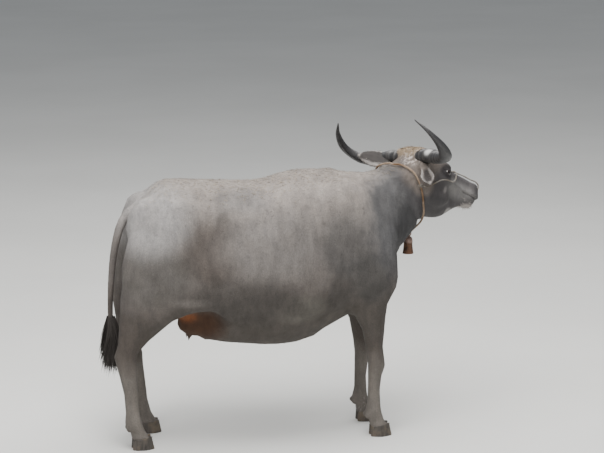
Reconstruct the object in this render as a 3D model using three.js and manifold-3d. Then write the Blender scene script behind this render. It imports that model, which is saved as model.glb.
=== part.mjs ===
// A standing water buffalo cow of the swamp type, life size, as a still museum model.
// Millimetres, +X towards the chest, +Y to the animal's left, +Z up, soles on z = 0.
// The flesh is one smooth form: rings swept along the trunk, neck, head and legs, melted together
// with muscle and bone. It is meshed, thinned to few faces and parted by cuts of one thin gap.
import * as THREE from "three";
import { mergeVertices } from "three/addons/utils/BufferGeometryUtils.js";
import Module from "manifold-3d";

const wasm = await Module();
wasm.setup();
const { Manifold, Mesh: SolidMesh } = wasm;
const vec = (x, y, z) => new THREE.Vector3(x, y, z);
const DEGREE = Math.PI / 180;
const LEFT = 1;
const RIGHT = -1;

// Driving dimensions
const GAP = 0.3; // left between pieces that touch
const SEAT = 0.4; // left round what grows from another piece
const WITHERS = 1284; // top of the back over the shoulder blades
const CROUP = 1259; // top of the back over the hips
const BELLY = 466; // lowest point of the belly above the ground
const BARREL = 338; // half the width of the belly
const CROWN = vec(746, 80, 1359); // top of the head between the horns
const HEAD_YAW = 27 * DEGREE; // turned to the animal's left
const HEAD_PITCH = 25 * DEGREE; // muzzle lower than the crown
const HEAD_ROLL = 9 * DEGREE; // left side lower
const FORELEG = { x: 512, spread: 142 };
const HINDLEG = { x: -640, spread: 146 };
const CORONET = 54; // height of the hoof's upper edge
const EYE_RADIUS = 20;
const CENTRE = vec(178, 0, 0); // middle of the model's box on the ground

// Mesh density
const BODY_CELL = 13;
const HEAD_CELL = 5.5;
const BODY_FACES = 3940;
const HEAD_FACES = 2620;

// Numbers that vary smoothly with position, given as rows of [position, ...numbers]
function profile(rows) {
  const step = 3;
  const first = rows[0][0];
  const last = rows.at(-1)[0];
  const count = Math.ceil((last - first) / step) + 1;
  const width = rows[0].length - 1;
  const table = new Float64Array(count * width);
  const slope = (row, column) => {
    const before = rows[Math.max(row - 1, 0)];
    const after = rows[Math.min(row + 1, rows.length - 1)];
    return (after[column] - before[column]) / (after[0] - before[0]);
  };
  for (let index = 0, row = 0; index < count; index++) {
    const position = Math.min(first + index * step, last);
    while (row < rows.length - 2 && position > rows[row + 1][0]) row++;
    const span = rows[row + 1][0] - rows[row][0];
    const t = (position - rows[row][0]) / span;
    for (let column = 1; column <= width; column++) {
      const start = rows[row][column];
      const end = rows[row + 1][column];
      const leave = slope(row, column) * span;
      const arrive = slope(row + 1, column) * span;
      const bend = t * t * (3 - 2 * t);
      table[index * width + column - 1] =
        start + (end - start) * bend + t * (1 - t) * ((1 - t) * leave - t * arrive);
    }
  }
  const values = new Float64Array(width);
  return (position) => {
    const place = (position - first) / step;
    const index = Math.min(Math.floor(place), count - 2);
    const t = Math.min(place - index, 1);
    for (let column = 0; column < width; column++) {
      const start = table[index * width + column];
      values[column] = start + (table[(index + 1) * width + column] - start) * t;
    }
    return values;
  };
}

// A form swept along a straight axis: rows of [position, sideways, rise, half width, above, below]
function sweep({ at = vec(0, 0, 0), along, side, up, rows, roundness = 2, ends }) {
  const read = profile(rows);
  const first = rows[0][0];
  const last = rows.at(-1)[0];
  const box = new THREE.Box3();
  for (const [position, sideways, rise, ...reaches] of rows) {
    const middle = at.clone().addScaledVector(along, position);
    middle.addScaledVector(side, sideways).addScaledVector(up, rise);
    const reach = Math.max(...reaches, ...ends);
    box.expandByPoint(middle.clone().addScalar(reach));
    box.expandByPoint(middle.clone().addScalar(-reach));
  }
  const distance = (x, y, z) => {
    const dx = x - at.x;
    const dy = y - at.y;
    const dz = z - at.z;
    const position = dx * along.x + dy * along.y + dz * along.z;
    const inside = Math.min(Math.max(position, first), last);
    const over = position - inside;
    const [sideways, rise, half, above, below] = read(inside);
    const s = dx * side.x + dy * side.y + dz * side.z - sideways;
    const v = dx * up.x + dy * up.y + dz * up.z - rise;
    const reach = v > 0 ? above : below;
    const ring = Math.abs(s / half) ** roundness + Math.abs(v / reach) ** roundness;
    const cap = over / (over < 0 ? ends[0] : ends[1]);
    const ratio = Math.sqrt(ring ** (2 / roundness) + cap * cap);
    const radius = Math.sqrt(s * s + v * v + over * over);
    return ratio < 1e-6 ? -Math.min(half, reach) : radius - radius / ratio;
  };
  return { distance, box };
}

// An ellipsoid of flesh or bone, turned by angles about x, y and z
function mass(centre, radii, turn = [0, 0, 0]) {
  const rotation = new THREE.Matrix4().makeRotationFromEuler(new THREE.Euler(...turn));
  const [xx, xy, xz, , yx, yy, yz, , zx, zy, zz] = rotation.elements;
  const reach = Math.max(...radii);
  const box = new THREE.Box3(centre.clone().addScalar(-reach), centre.clone().addScalar(reach));
  const distance = (x, y, z) => {
    const dx = x - centre.x;
    const dy = y - centre.y;
    const dz = z - centre.z;
    const a = (dx * xx + dy * xy + dz * xz) / radii[0];
    const b = (dx * yx + dy * yy + dz * yz) / radii[1];
    const c = (dx * zx + dy * zy + dz * zz) / radii[2];
    const ratio = Math.sqrt(a * a + b * b + c * c);
    if (ratio < 1e-6) return -Math.min(...radii);
    const steepness = Math.hypot(a / radii[0], b / radii[1], c / radii[2]);
    return (ratio * (ratio - 1)) / steepness;
  };
  return { distance, box };
}

// A rounded ridge or groove along points, its radius running from one end's to the other's
function strand(points, startRadius, endRadius = startRadius) {
  const box = new THREE.Box3().setFromPoints(points);
  box.expandByScalar(Math.max(startRadius, endRadius));
  const links = points.length - 1;
  const distance = (x, y, z) => {
    let nearest = Infinity;
    for (let link = 0; link < links; link++) {
      const start = points[link];
      const end = points[link + 1];
      const ex = end.x - start.x;
      const ey = end.y - start.y;
      const ez = end.z - start.z;
      const dx = x - start.x;
      const dy = y - start.y;
      const dz = z - start.z;
      const along = (dx * ex + dy * ey + dz * ez) / (ex * ex + ey * ey + ez * ez);
      const t = Math.min(Math.max(along, 0), 1);
      const radius = startRadius + ((endRadius - startRadius) * (link + t)) / links;
      nearest = Math.min(nearest, Math.hypot(dx - ex * t, dy - ey * t, dz - ez * t) - radius);
    }
    return nearest;
  };
  return { distance, box };
}

function melt(a, b, blend) {
  const near = Math.max(blend - Math.abs(a - b), 0);
  return Math.min(a, b) - (near * near) / (4 * blend);
}

// A form built up by adding and carving terms, each melted in over its own blend
class Flesh {
  constructor() {
    this.terms = [];
    this.box = new THREE.Box3();
  }
  add(term, blend) {
    this.terms.push({ ...term, blend, carved: false });
    this.box.union(term.box);
    return this;
  }
  carve(term, blend) {
    this.terms.push({ ...term, blend, carved: true });
    return this;
  }
  distance(x, y, z) {
    let result = 1e4;
    for (const { box, distance, blend, carved } of this.terms) {
      const outX = Math.max(box.min.x - x, x - box.max.x, 0);
      const outY = Math.max(box.min.y - y, y - box.max.y, 0);
      const outZ = Math.max(box.min.z - z, z - box.max.z, 0);
      const apart = Math.sqrt(outX * outX + outY * outY + outZ * outZ);
      if (carved) {
        if (apart < blend - result) result = -melt(-result, distance(x, y, z), blend);
      } else if (apart < blend + result) {
        result = melt(result, distance(x, y, z), blend);
      }
    }
    return result;
  }
}

// Head frame: x along the face to the muzzle, y to the animal's left, z up from the forehead
const headFrame = new THREE.Matrix4().makeRotationFromEuler(
  new THREE.Euler(-HEAD_ROLL, HEAD_PITCH, HEAD_YAW, "ZYX"),
);
headFrame.setPosition(CROWN);
const headInverse = headFrame.clone().invert();
const onHead = (x, y, z) => vec(x, y, z).applyMatrix4(headFrame);

const EYE = vec(176, 89, -74); // left eye's centre on the head
const EAR_ROOT = vec(8, 100, -92);
const HORN_ROOT = vec(20, 62, -44);
const MOUTH = { corner: 325, front: 466, height: -128, rise: 0.1, width: 5, depth: 6 };

function headFlesh() {
  const along = vec(1, 0, 0);
  const side = vec(0, 1, 0);
  const up = vec(0, 0, 1);
  // [along the face, sideways, rise, half width, above, below]
  const face = [
    [20, 0, -78, 84, 68, 96],
    [110, 0, -88, 98, 74, 100],
    [190, 0, -95, 91, 68, 92],
    [270, 0, -96, 68, 62, 74],
    [335, 0, -92, 58, 57, 62],
    [385, 0, -94, 66, 54, 54],
    [416, 0, -107, 67, 44, 42],
  ];
  const jaw = [
    [104, 0, -184, 64, 70, 88],
    [180, 0, -194, 62, 70, 98],
    [262, 0, -182, 52, 60, 90],
    [345, 0, -160, 42, 46, 41],
    [400, 0, -146, 46, 36, 25],
    [420, 0, -144, 46, 32, 25],
  ];
  const flesh = new Flesh();
  flesh.add(sweep({ along, side, up, rows: face, roundness: 2.5, ends: [60, 50] }), 1);
  flesh.add(sweep({ along, side, up, rows: jaw, roundness: 2.3, ends: [56, 34] }), 26);
  flesh.add(mass(vec(30, 0, -30), [62, 74, 30]), 30);
  for (const hand of [LEFT, RIGHT]) {
    const at = (x, y, z) => vec(x, hand * y, z);
    // masseter, brow, cheekbone, facial crest, horn seat and ear seat
    flesh.add(mass(at(165, 66, -178), [88, 30, 66], [0, -0.25, 0]), 34);
    flesh.add(mass(at(166, 84, -44), [40, 22, 18], [0, 0.1, hand * -0.15]), 22);
    flesh.add(mass(at(206, 78, -112), [58, 22, 16], [0, 0.1, hand * -0.32]), 22);
    flesh.add(strand([at(250, 66, -112), at(340, 50, -106)], 14, 9), 22);
    flesh.add(mass(at(20, 72, -34), [44, 36, 32]), 26);
    flesh.add(mass(at(16, 88, -92), [34, 26, 34]), 24);
    // hollows over the eye, before the masseter and along the nose
    flesh.carve(mass(at(104, 116, -72), [30, 16, 18]), 22);
    flesh.carve(mass(at(268, 82, -152), [46, 16, 26], [0, 0.2, hand * -0.2]), 26);
    flesh.carve(mass(at(330, 72, -74), [60, 14, 14], [0, 0.05, hand * -0.05]), 20);
    // lids bulging over the eyeball, then the slit between them
    flesh.add(mass(at(EYE.x, EYE.y, EYE.z), [EYE_RADIUS + 10, EYE_RADIUS + 5, EYE_RADIUS + 4]), 9);
    flesh.carve(mass(at(EYE.x + 2, EYE.y + 23, EYE.z - 1), [18, 12, 9.5], [0, 0.22, 0]), 2);
    // nostril wings, upper lip, nostrils
    flesh.add(mass(at(420, 44, -76), [36, 24, 26], [0, 0.5, hand * -0.25]), 18);
    flesh.add(mass(at(408, 50, -112), [46, 22, 18]), 16);
    flesh.carve(mass(at(448, 46, -72), [16, 9, 16], [hand * 0.5, 0.6, hand * -0.5]), 5);
    flesh.carve(strand([at(442, 56, -66), at(426, 66, -64), at(414, 69, -72)], 6, 2.5), 5);
  }
  flesh.add(mass(vec(416, 0, -152), [38, 38, 17]), 16);
  flesh.carve(strand([vec(474, 0, -84), vec(470, 0, -120)], 5, 3), 8);
  return flesh;
}

// The head with the line of the mouth pressed in, in its own frame
const headTerms = headFlesh();
function headDistance(x, y, z) {
  const flesh = headTerms.distance(x, y, z);
  const line = MOUTH.height + (MOUTH.front - x) * MOUTH.rise;
  const drop = (z - line) / MOUTH.width;
  if (Math.abs(drop) > 3 || flesh > 30) return flesh;
  const fade = Math.min(Math.max((x - MOUTH.corner) / 30, 0), 1);
  return flesh + MOUTH.depth * fade * Math.exp(-drop * drop);
}
const headBox = new THREE.Box3(vec(-120, -200, -340), vec(520, 200, 40)).applyMatrix4(headFrame);

function trunk() {
  // [along, sideways, height of the widest line, half width, above, below]
  const row = (x, widest, half, top, bottom) => [x, 0, widest, half, top - widest, widest - bottom];
  const rows = [
    row(-574, 950, 200, 1170, 700),
    row(-500, 950, 258, CROUP - 12, 640),
    row(-420, 930, 286, CROUP, 600),
    row(-280, 880, 306, CROUP - 10, 545),
    row(-140, 850, 326, CROUP - 17, BELLY + 42),
    row(-10, 835, BARREL, CROUP - 19, BELLY + 8),
    row(90, 835, BARREL - 4, WITHERS - 15, BELLY),
    row(200, 850, 312, WITHERS, BELLY + 16),
    row(320, 870, 270, WITHERS - 10, BELLY + 66),
    row(430, 890, 228, WITHERS - 30, BELLY + 122),
    row(520, 905, 192, 1196, 628),
    row(566, 905, 166, 1120, 664),
  ];
  const frame = { along: vec(1, 0, 0), side: vec(0, 1, 0), up: vec(0, 0, 1) };
  return sweep({ ...frame, rows, roundness: 2.15, ends: [74, 66] });
}

function neck() {
  const start = vec(480, 4, 1040);
  const end = vec(720, 66, 1214);
  const along = end.clone().sub(start).normalize();
  const side = vec(0, 0, 1).cross(along).normalize();
  const up = along.clone().cross(side);
  const length = start.distanceTo(end);
  const rows = [
    [-110, 0, 0, 186, 212, 240],
    [0, 0, 0, 156, 202, 246],
    [length / 2, 0, 0, 124, 158, 232],
    [length, 0, 0, 98, 86, 192],
  ];
  return sweep({ at: start, along, side, up, rows, roundness: 2.1, ends: [90, 70] });
}

// Legs run upwards: [height, sideways, forwards, half width, reach ahead, reach behind]
const legFrame = { along: vec(0, 0, 1), side: vec(0, 1, 0), up: vec(1, 0, 0) };

function foreleg(hand) {
  const { x, spread } = FORELEG;
  const y = hand * spread;
  const rows = [
    [34, y, x + 22, 42, 42, 44],
    [CORONET, y, x + 20, 46, 42, 44],
    [82, y, x + 10, 38, 36, 40],
    [116, y, x, 40, 36, 46],
    [160, y, x, 32, 30, 37],
    [230, y, x, 30, 28, 34],
    [296, y, x + 2, 38, 34, 36],
    [342, y, x + 5, 47, 45, 38],
    [388, y, x + 3, 46, 44, 40],
    [440, y, x - 2, 45, 43, 45],
    [520, y, x - 6, 54, 54, 58],
    [600, y - hand * 2, x - 14, 66, 68, 88],
    [700, y - hand * 6, x - 24, 74, 92, 112],
  ];
  return sweep({ ...legFrame, rows, roundness: 2.2, ends: [30, 90] });
}

function hindleg(hand, step) {
  const { x, spread } = HINDLEG;
  const y = hand * spread;
  const rows = [
    [34, y, x + step + 22, 42, 42, 44],
    [CORONET, y, x + step + 20, 46, 42, 44],
    [82, y, x + step + 8, 38, 37, 40],
    [118, y, x + step - 8, 40, 38, 47],
    [170, y, x + step - 14, 32, 32, 39],
    [260, y, x + step - 22, 31, 32, 37],
    [340, y, x + step * 0.9 - 32, 36, 40, 44],
    [400, y, x + step * 0.8 - 40, 44, 52, 50],
    [448, y, x + step * 0.7 - 46, 44, 52, 56],
    [505, y, x + step * 0.5 - 20, 50, 70, 66],
    [590, y, x + step * 0.3 + 26, 72, 120, 106],
    [700, y + hand * 6, x + 54, 96, 152, 124],
  ];
  return sweep({ ...legFrame, rows, roundness: 2.1, ends: [30, 100] });
}

const HIND_STEP = { [LEFT]: 80, [RIGHT]: 0 }; // the left hind foot stands a little further forward

function bodyFlesh() {
  const flesh = new Flesh();
  flesh.add(trunk(), 1);
  flesh.add(neck(), 70);
  for (const hand of [LEFT, RIGHT]) {
    const at = (x, y, z) => vec(x, hand * y, z);
    // thigh, rump, hook bone, pin bone, stifle fold
    flesh.add(mass(at(-540, 162, 866), [164, 98, 260], [0, 0.1, 0]), 60);
    flesh.add(mass(at(-536, 104, 1082), [122, 92, 88], [0, 0.65, 0]), 60);
    flesh.add(mass(at(-436, 182, 1150), [74, 46, 44], [0, 0.3, 0]), 80);
    flesh.add(mass(at(-626, 86, 1046), [42, 38, 60]), 50);
    flesh.add(mass(at(-392, 190, 700), [100, 60, 96], [0, -0.5, 0]), 70);
    // shoulder blade, upper arm, point of the shoulder
    flesh.add(mass(at(404, 150, 1000), [128, 74, 270], [0, -0.3, 0]), 70);
    flesh.add(mass(at(476, 172, 780), [142, 66, 122], [0, 0.3, 0]), 60);
    flesh.add(mass(at(545, 120, 842), [70, 58, 92]), 60);
    flesh.add(foreleg(hand), 46);
    flesh.add(hindleg(hand, HIND_STEP[hand]), 50);
    // hollows of the flank, of the groin, behind the shoulder and beside the tail
    flesh.carve(mass(at(-316, 348, 1060), [150, 70, 120]), 90);
    flesh.carve(mass(at(-335, 190, 600), [108, 84, 64]), 50);
    flesh.carve(mass(at(262, 344, 980), [60, 40, 220], [0, -0.25, 0]), 80);
    flesh.carve(mass(at(-676, 30, 950), [34, 22, 130]), 34);
  }
  // brisket and fold of the throat
  flesh.add(mass(vec(556, 0, 800), [62, 62, 120], [0, -0.25, 0]), 60);
  flesh.add(mass(vec(-60, 0, 520), [290, 150, 56]), 80);
  return flesh;
}

const bodyTerms = bodyFlesh();
const point = new THREE.Vector3();
function animal(x, y, z) {
  const body = bodyTerms.distance(x, y, z);
  if (body > 500 && !headBox.containsPoint(point.set(x, y, z))) return body;
  point.set(x, y, z).applyMatrix4(headInverse);
  return melt(body, headDistance(point.x, point.y, point.z), 34);
}

// Closed mesh of a field inside a box, one point in each cell that the surface crosses
function skin(field, box, cell) {
  const size = box.getSize(vec(0, 0, 0)).divideScalar(cell);
  const nx = Math.ceil(size.x) + 1;
  const ny = Math.ceil(size.y) + 1;
  const nz = Math.ceil(size.z) + 1;
  const inner = box.clone().expandByScalar(-1.6 * cell);
  const closed = (x, y, z) => {
    const outX = Math.max(inner.min.x - x, x - inner.max.x);
    const outY = Math.max(inner.min.y - y, y - inner.max.y);
    const outZ = Math.max(inner.min.z - z, z - inner.max.z);
    return Math.max(field(x, y, z), outX, outY, outZ);
  };
  const value = new Float32Array(nx * ny * nz);
  const index = (i, j, k) => (k * ny + j) * nx + i;
  const place = (i, j, k) => [box.min.x + i * cell, box.min.y + j * cell, box.min.z + k * cell];
  const block = 4;
  const sure = cell * block * 1.8;
  for (let k = 0; k < nz; k += block) {
    for (let j = 0; j < ny; j += block) {
      for (let i = 0; i < nx; i += block) {
        const middle = closed(...place(i + 1.5, j + 1.5, k + 1.5));
        for (let c = k; c < Math.min(k + block, nz); c++) {
          for (let b = j; b < Math.min(j + block, ny); b++) {
            for (let a = i; a < Math.min(i + block, nx); a++) {
              value[index(a, b, c)] = Math.abs(middle) > sure ? middle : closed(...place(a, b, c));
            }
          }
        }
      }
    }
  }
  const points = [];
  const faces = [];
  const cellPoint = new Int32Array(nx * ny * nz).fill(-1);
  const corners = [0, 1].flatMap((c) => [0, 1].flatMap((b) => [0, 1].map((a) => [a, b, c])));
  const edges = [];
  corners.forEach((from, start) => {
    corners.forEach((to, end) => {
      const steps = Math.abs(from[0] - to[0]) + Math.abs(from[1] - to[1]) + Math.abs(from[2] - to[2]);
      if (steps === 1 && start < end) edges.push([start, end]);
    });
  });
  for (let k = 0; k < nz - 1; k++) {
    for (let j = 0; j < ny - 1; j++) {
      for (let i = 0; i < nx - 1; i++) {
        const levels = corners.map(([a, b, c]) => value[index(i + a, j + b, k + c)]);
        const under = levels.filter((level) => level < 0).length;
        if (under === 0 || under === 8) continue;
        const sum = [0, 0, 0];
        let crossings = 0;
        for (const [start, end] of edges) {
          if (levels[start] < 0 === levels[end] < 0) continue;
          const t = levels[start] / (levels[start] - levels[end]);
          for (const axis of [0, 1, 2]) {
            sum[axis] += corners[start][axis] + (corners[end][axis] - corners[start][axis]) * t;
          }
          crossings++;
        }
        cellPoint[index(i, j, k)] = points.length / 3;
        points.push(...place(i + sum[0] / crossings, j + sum[1] / crossings, k + sum[2] / crossings));
      }
    }
  }
  const quad = (inward, a, b, c, d) => {
    if (inward) faces.push(a, b, c, a, c, d);
    else faces.push(a, c, b, a, d, c);
  };
  for (let k = 1; k < nz - 1; k++) {
    for (let j = 1; j < ny - 1; j++) {
      for (let i = 1; i < nx - 1; i++) {
        const here = value[index(i, j, k)] < 0;
        const at = (a, b, c) => cellPoint[index(i + a, j + b, k + c)];
        if (here !== value[index(i + 1, j, k)] < 0) {
          quad(here, at(0, -1, -1), at(0, 0, -1), at(0, 0, 0), at(0, -1, 0));
        }
        if (here !== value[index(i, j + 1, k)] < 0) {
          quad(here, at(-1, 0, -1), at(-1, 0, 0), at(0, 0, 0), at(0, 0, -1));
        }
        if (here !== value[index(i, j, k + 1)] < 0) {
          quad(here, at(-1, -1, 0), at(0, -1, 0), at(0, 0, 0), at(-1, 0, 0));
        }
      }
    }
  }
  settle(points, closed, cell);
  return { points, faces };
}

// Moves each point onto the surface along the field's slope
function settle(points, field, cell) {
  const probe = 0.5;
  for (let index = 0; index < points.length; index += 3) {
    for (let pass = 0; pass < 2; pass++) {
      const [x, y, z] = points.slice(index, index + 3);
      const level = field(x, y, z);
      const slope = [
        (field(x + probe, y, z) - level) / probe,
        (field(x, y + probe, z) - level) / probe,
        (field(x, y, z + probe) - level) / probe,
      ];
      const steepness = slope[0] ** 2 + slope[1] ** 2 + slope[2] ** 2;
      const limit = 0.35 * cell;
      for (const axis of [0, 1, 2]) {
        const move = (-level * slope[axis]) / Math.max(steepness, 0.1);
        points[index + axis] += Math.min(Math.max(move, -limit), limit);
      }
    }
  }
}

// Collapses edges of a closed mesh, the least telling first, until few enough faces are left.
// Each point's ten numbers sum the squared distances to the planes that it stands for.
function thin({ points, faces }, goal) {
  const count = points.length / 3;
  const planes = new Float64Array(count * 10);
  const around = Array.from({ length: count }, () => []);
  const stamp = new Int32Array(count);
  const alive = new Uint8Array(faces.length / 3).fill(1);
  const corner = (face, k) => faces[face * 3 + k];
  const normal = (a, b, c) => {
    const ux = points[b * 3] - points[a * 3];
    const uy = points[b * 3 + 1] - points[a * 3 + 1];
    const uz = points[b * 3 + 2] - points[a * 3 + 2];
    const vx = points[c * 3] - points[a * 3];
    const vy = points[c * 3 + 1] - points[a * 3 + 1];
    const vz = points[c * 3 + 2] - points[a * 3 + 2];
    return [uy * vz - uz * vy, uz * vx - ux * vz, ux * vy - uy * vx];
  };
  for (let face = 0; face < alive.length; face++) {
    const [a, b, c] = [corner(face, 0), corner(face, 1), corner(face, 2)];
    const n = normal(a, b, c);
    const area = Math.hypot(...n) || 1e-9;
    const [nx, ny, nz] = n.map((part) => part / area);
    const d = -(nx * points[a * 3] + ny * points[a * 3 + 1] + nz * points[a * 3 + 2]);
    const terms = [nx * nx, nx * ny, nx * nz, nx * d, ny * ny, ny * nz, ny * d, nz * nz, nz * d, d * d];
    for (const vertex of [a, b, c]) {
      around[vertex].push(face);
      terms.forEach((term, k) => (planes[vertex * 10 + k] += term * area));
    }
  }
  const heap = [];
  const push = (item) => {
    heap.push(item);
    let child = heap.length - 1;
    while (child > 0) {
      const parent = (child - 1) >> 1;
      if (heap[parent].cost <= heap[child].cost) break;
      [heap[parent], heap[child]] = [heap[child], heap[parent]];
      child = parent;
    }
  };
  const pop = () => {
    const top = heap[0];
    const tail = heap.pop();
    if (heap.length === 0) return top;
    heap[0] = tail;
    for (let parent = 0; ; ) {
      let child = parent * 2 + 1;
      if (child >= heap.length) break;
      if (child + 1 < heap.length && heap[child + 1].cost < heap[child].cost) child++;
      if (heap[parent].cost <= heap[child].cost) break;
      [heap[parent], heap[child]] = [heap[child], heap[parent]];
      parent = child;
    }
    return top;
  };
  const propose = (u, v) => {
    const q = planes.slice(u * 10, u * 10 + 10).map((term, k) => term + planes[v * 10 + k]);
    const ends = [u, v].map((vertex) => points.slice(vertex * 3, vertex * 3 + 3));
    const middle = ends[0].map((part, axis) => (part + ends[1][axis]) / 2);
    const error = ([x, y, z]) =>
      x * (q[0] * x + 2 * (q[1] * y + q[2] * z + q[3])) +
      y * (q[4] * y + 2 * (q[5] * z + q[6])) +
      z * (q[7] * z + 2 * q[8]) +
      q[9];
    const choices = [middle, ...ends];
    const minor = [q[4] * q[7] - q[5] * q[5], q[1] * q[7] - q[5] * q[2], q[1] * q[5] - q[4] * q[2]];
    const det = q[0] * minor[0] - q[1] * minor[1] + q[2] * minor[2];
    const length = Math.hypot(...ends[0].map((part, axis) => part - ends[1][axis]));
    if (Math.abs(det) > 1e-4 * (q[0] + q[4] + q[7]) ** 3) {
      const best = [
        -(q[3] * minor[0] - q[6] * minor[1] + q[8] * minor[2]) / det,
        (q[3] * minor[1] - q[6] * (q[0] * q[7] - q[2] * q[2]) + q[8] * (q[0] * q[5] - q[1] * q[2])) / det,
        -(q[3] * minor[2] - q[6] * (q[0] * q[5] - q[1] * q[2]) + q[8] * (q[0] * q[4] - q[1] * q[1])) / det,
      ];
      if (Math.hypot(...best.map((part, axis) => part - middle[axis])) < length) choices.push(best);
    }
    choices.sort((first, second) => error(first) - error(second));
    const cost = Math.max(error(choices[0]), 0) + 2e-5 * length ** 4;
    push({ cost, u, v, marks: stamp[u] + stamp[v] * 1e5, spot: choices[0] });
  };
  const neighbours = (vertex) => {
    const found = new Set();
    for (const face of around[vertex]) {
      for (const k of [0, 1, 2]) found.add(corner(face, k));
    }
    found.delete(vertex);
    return found;
  };
  const flips = (vertex, other, spot) => {
    const old = points.slice(vertex * 3, vertex * 3 + 3);
    for (const face of around[vertex]) {
      const [a, b, c] = [corner(face, 0), corner(face, 1), corner(face, 2)];
      if (a === other || b === other || c === other) continue;
      const before = normal(a, b, c);
      spot.forEach((part, axis) => (points[vertex * 3 + axis] = part));
      const after = normal(a, b, c);
      old.forEach((part, axis) => (points[vertex * 3 + axis] = part));
      const dot = before[0] * after[0] + before[1] * after[1] + before[2] * after[2];
      if (dot < 0.3 * Math.hypot(...before) * Math.hypot(...after)) return true;
    }
    return false;
  };
  for (let vertex = 0; vertex < count; vertex++) {
    for (const other of neighbours(vertex)) if (vertex < other) propose(vertex, other);
  }
  let left = alive.length;
  while (left > goal && heap.length > 0) {
    const { u, v, marks, spot } = pop();
    if (stamp[u] < 0 || stamp[v] < 0 || marks !== stamp[u] + stamp[v] * 1e5) continue;
    const shared = [...neighbours(u)].filter((vertex) => neighbours(v).has(vertex));
    if (shared.length !== 2 || flips(u, v, spot) || flips(v, u, spot)) continue;
    spot.forEach((part, axis) => (points[u * 3 + axis] = part));
    for (let k = 0; k < 10; k++) planes[u * 10 + k] += planes[v * 10 + k];
    for (const face of around[v]) {
      const known = around[u].includes(face);
      if (known) {
        alive[face] = 0;
        left--;
        for (const k of [0, 1, 2]) {
          const vertex = corner(face, k);
          around[vertex] = around[vertex].filter((other) => other !== face);
        }
      } else {
        for (const k of [0, 1, 2]) if (corner(face, k) === v) faces[face * 3 + k] = u;
        around[u].push(face);
      }
    }
    stamp[v] = -1;
    stamp[u]++;
    for (const other of neighbours(u)) propose(Math.min(u, other), Math.max(u, other));
  }
  const kept = [];
  const renamed = new Map();
  const triangles = [];
  for (let face = 0; face < alive.length; face++) {
    if (!alive[face]) continue;
    for (const k of [0, 1, 2]) {
      const vertex = corner(face, k);
      if (!renamed.has(vertex)) {
        renamed.set(vertex, kept.length / 3);
        kept.push(...points.slice(vertex * 3, vertex * 3 + 3));
      }
      triangles.push(renamed.get(vertex));
    }
  }
  return { points: kept, faces: triangles };
}

const solid = ({ points, faces }) =>
  new Manifold(new SolidMesh({
    numProp: 3,
    vertProperties: new Float32Array(points),
    triVerts: new Uint32Array(faces),
  }));

function solidOf(geometry, matrix = new THREE.Matrix4()) {
  const bare = geometry.clone().applyMatrix4(matrix);
  bare.deleteAttribute("normal");
  bare.deleteAttribute("uv");
  const merged = mergeVertices(bare, 1e-3);
  return solid({ points: merged.attributes.position.array, faces: merged.index.array });
}

const largest = (whole) => whole.decompose().sort((a, b) => b.volume() - a.volume())[0];

// Keeps the side of a plane that its normal points to, half a gap back from it
function trim(whole, at, normal) {
  const unit = normal.clone().normalize();
  return whole.trimByPlane(unit.toArray(), at.dot(unit) + GAP / 2);
}

// Closed surface through rings of equal count, ended by a fan at each end or joined into a loop
function loft(rings, loop = false) {
  const sides = rings[0].length;
  const points = rings.flat().flatMap((ring) => ring.toArray());
  const faces = [];
  const bands = loop ? rings.length : rings.length - 1;
  for (let band = 0; band < bands; band++) {
    for (let side = 0; side < sides; side++) {
      const next = (side + 1) % sides;
      const here = band * sides;
      const there = ((band + 1) % rings.length) * sides;
      faces.push(here + side, here + next, there + next, here + side, there + next, there + side);
    }
  }
  if (!loop) {
    for (const [ring, start, forward] of [[rings[0], 0, false], [rings.at(-1), bands * sides, true]]) {
      const middle = points.length / 3;
      const centre = ring.reduce((sum, corner) => sum.add(corner), vec(0, 0, 0));
      points.push(...centre.divideScalar(sides).toArray());
      for (let side = 0; side < sides; side++) {
        const next = (side + 1) % sides;
        if (forward) faces.push(start + side, start + next, middle);
        else faces.push(start + next, start + side, middle);
      }
    }
  }
  return solid({ points, faces });
}

// Rings square to a curve, shaped by radii(t) as [across, deep] and turned so that deep faces one way.
// Grown rings are wider and start lower, to cut the seat of what the plain rings make.
function ringsAlong(curve, steps, sides, facing, radii, grown = 0) {
  return Array.from({ length: steps + 1 }, (_, step) => {
    const t = step / steps;
    const tangent = curve.getTangentAt(t);
    const centre = curve.getPointAt(t).addScaledVector(tangent, step ? 0 : -grown);
    const across = facing.clone().cross(tangent).normalize();
    const deep = tangent.clone().cross(across);
    const [wide, thick] = radii(t).map((radius) => radius + grown);
    return Array.from({ length: sides }, (_, side) => {
      const angle = (side / sides) * 2 * Math.PI;
      const ring = centre.clone().addScaledVector(across, wide * Math.cos(angle));
      return ring.addScaledVector(deep, thick * Math.sin(angle));
    });
  });
}

const HORN = {
  path: [
    [HORN_ROOT.x, HORN_ROOT.y, HORN_ROOT.z],
    [6, 130, -46],
    [-6, 205, -62],
    [-48, 288, -68],
    [-130, 326, -44],
    [-208, 308, -4],
    [-266, 262, 34],
  ],
  base: [46, 36],
  tip: 4,
};

// A crescent horn, flattened, ringed near its root; grown widens it to cut its seat
function horn(hand, grown = 0) {
  const points = HORN.path.map(([x, y, z]) => onHead(x, hand * y, z));
  const curve = new THREE.CatmullRomCurve3(points);
  const facing = onHead(-40, 0, 100).sub(onHead(0, 0, 0)).normalize();
  const radii = (t) => {
    const taper = (1 - t ** 1.9) * (1 - 0.22 * t);
    const ringed = t < 0.55 ? 1 + 0.035 * Math.sin(t * 56) * (1 - t / 0.55) : 1;
    return HORN.base.map((base) => (HORN.tip + (base - HORN.tip) * taper) * ringed);
  };
  return loft(ringsAlong(curve, 18, 10, facing, radii, grown));
}

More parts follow.
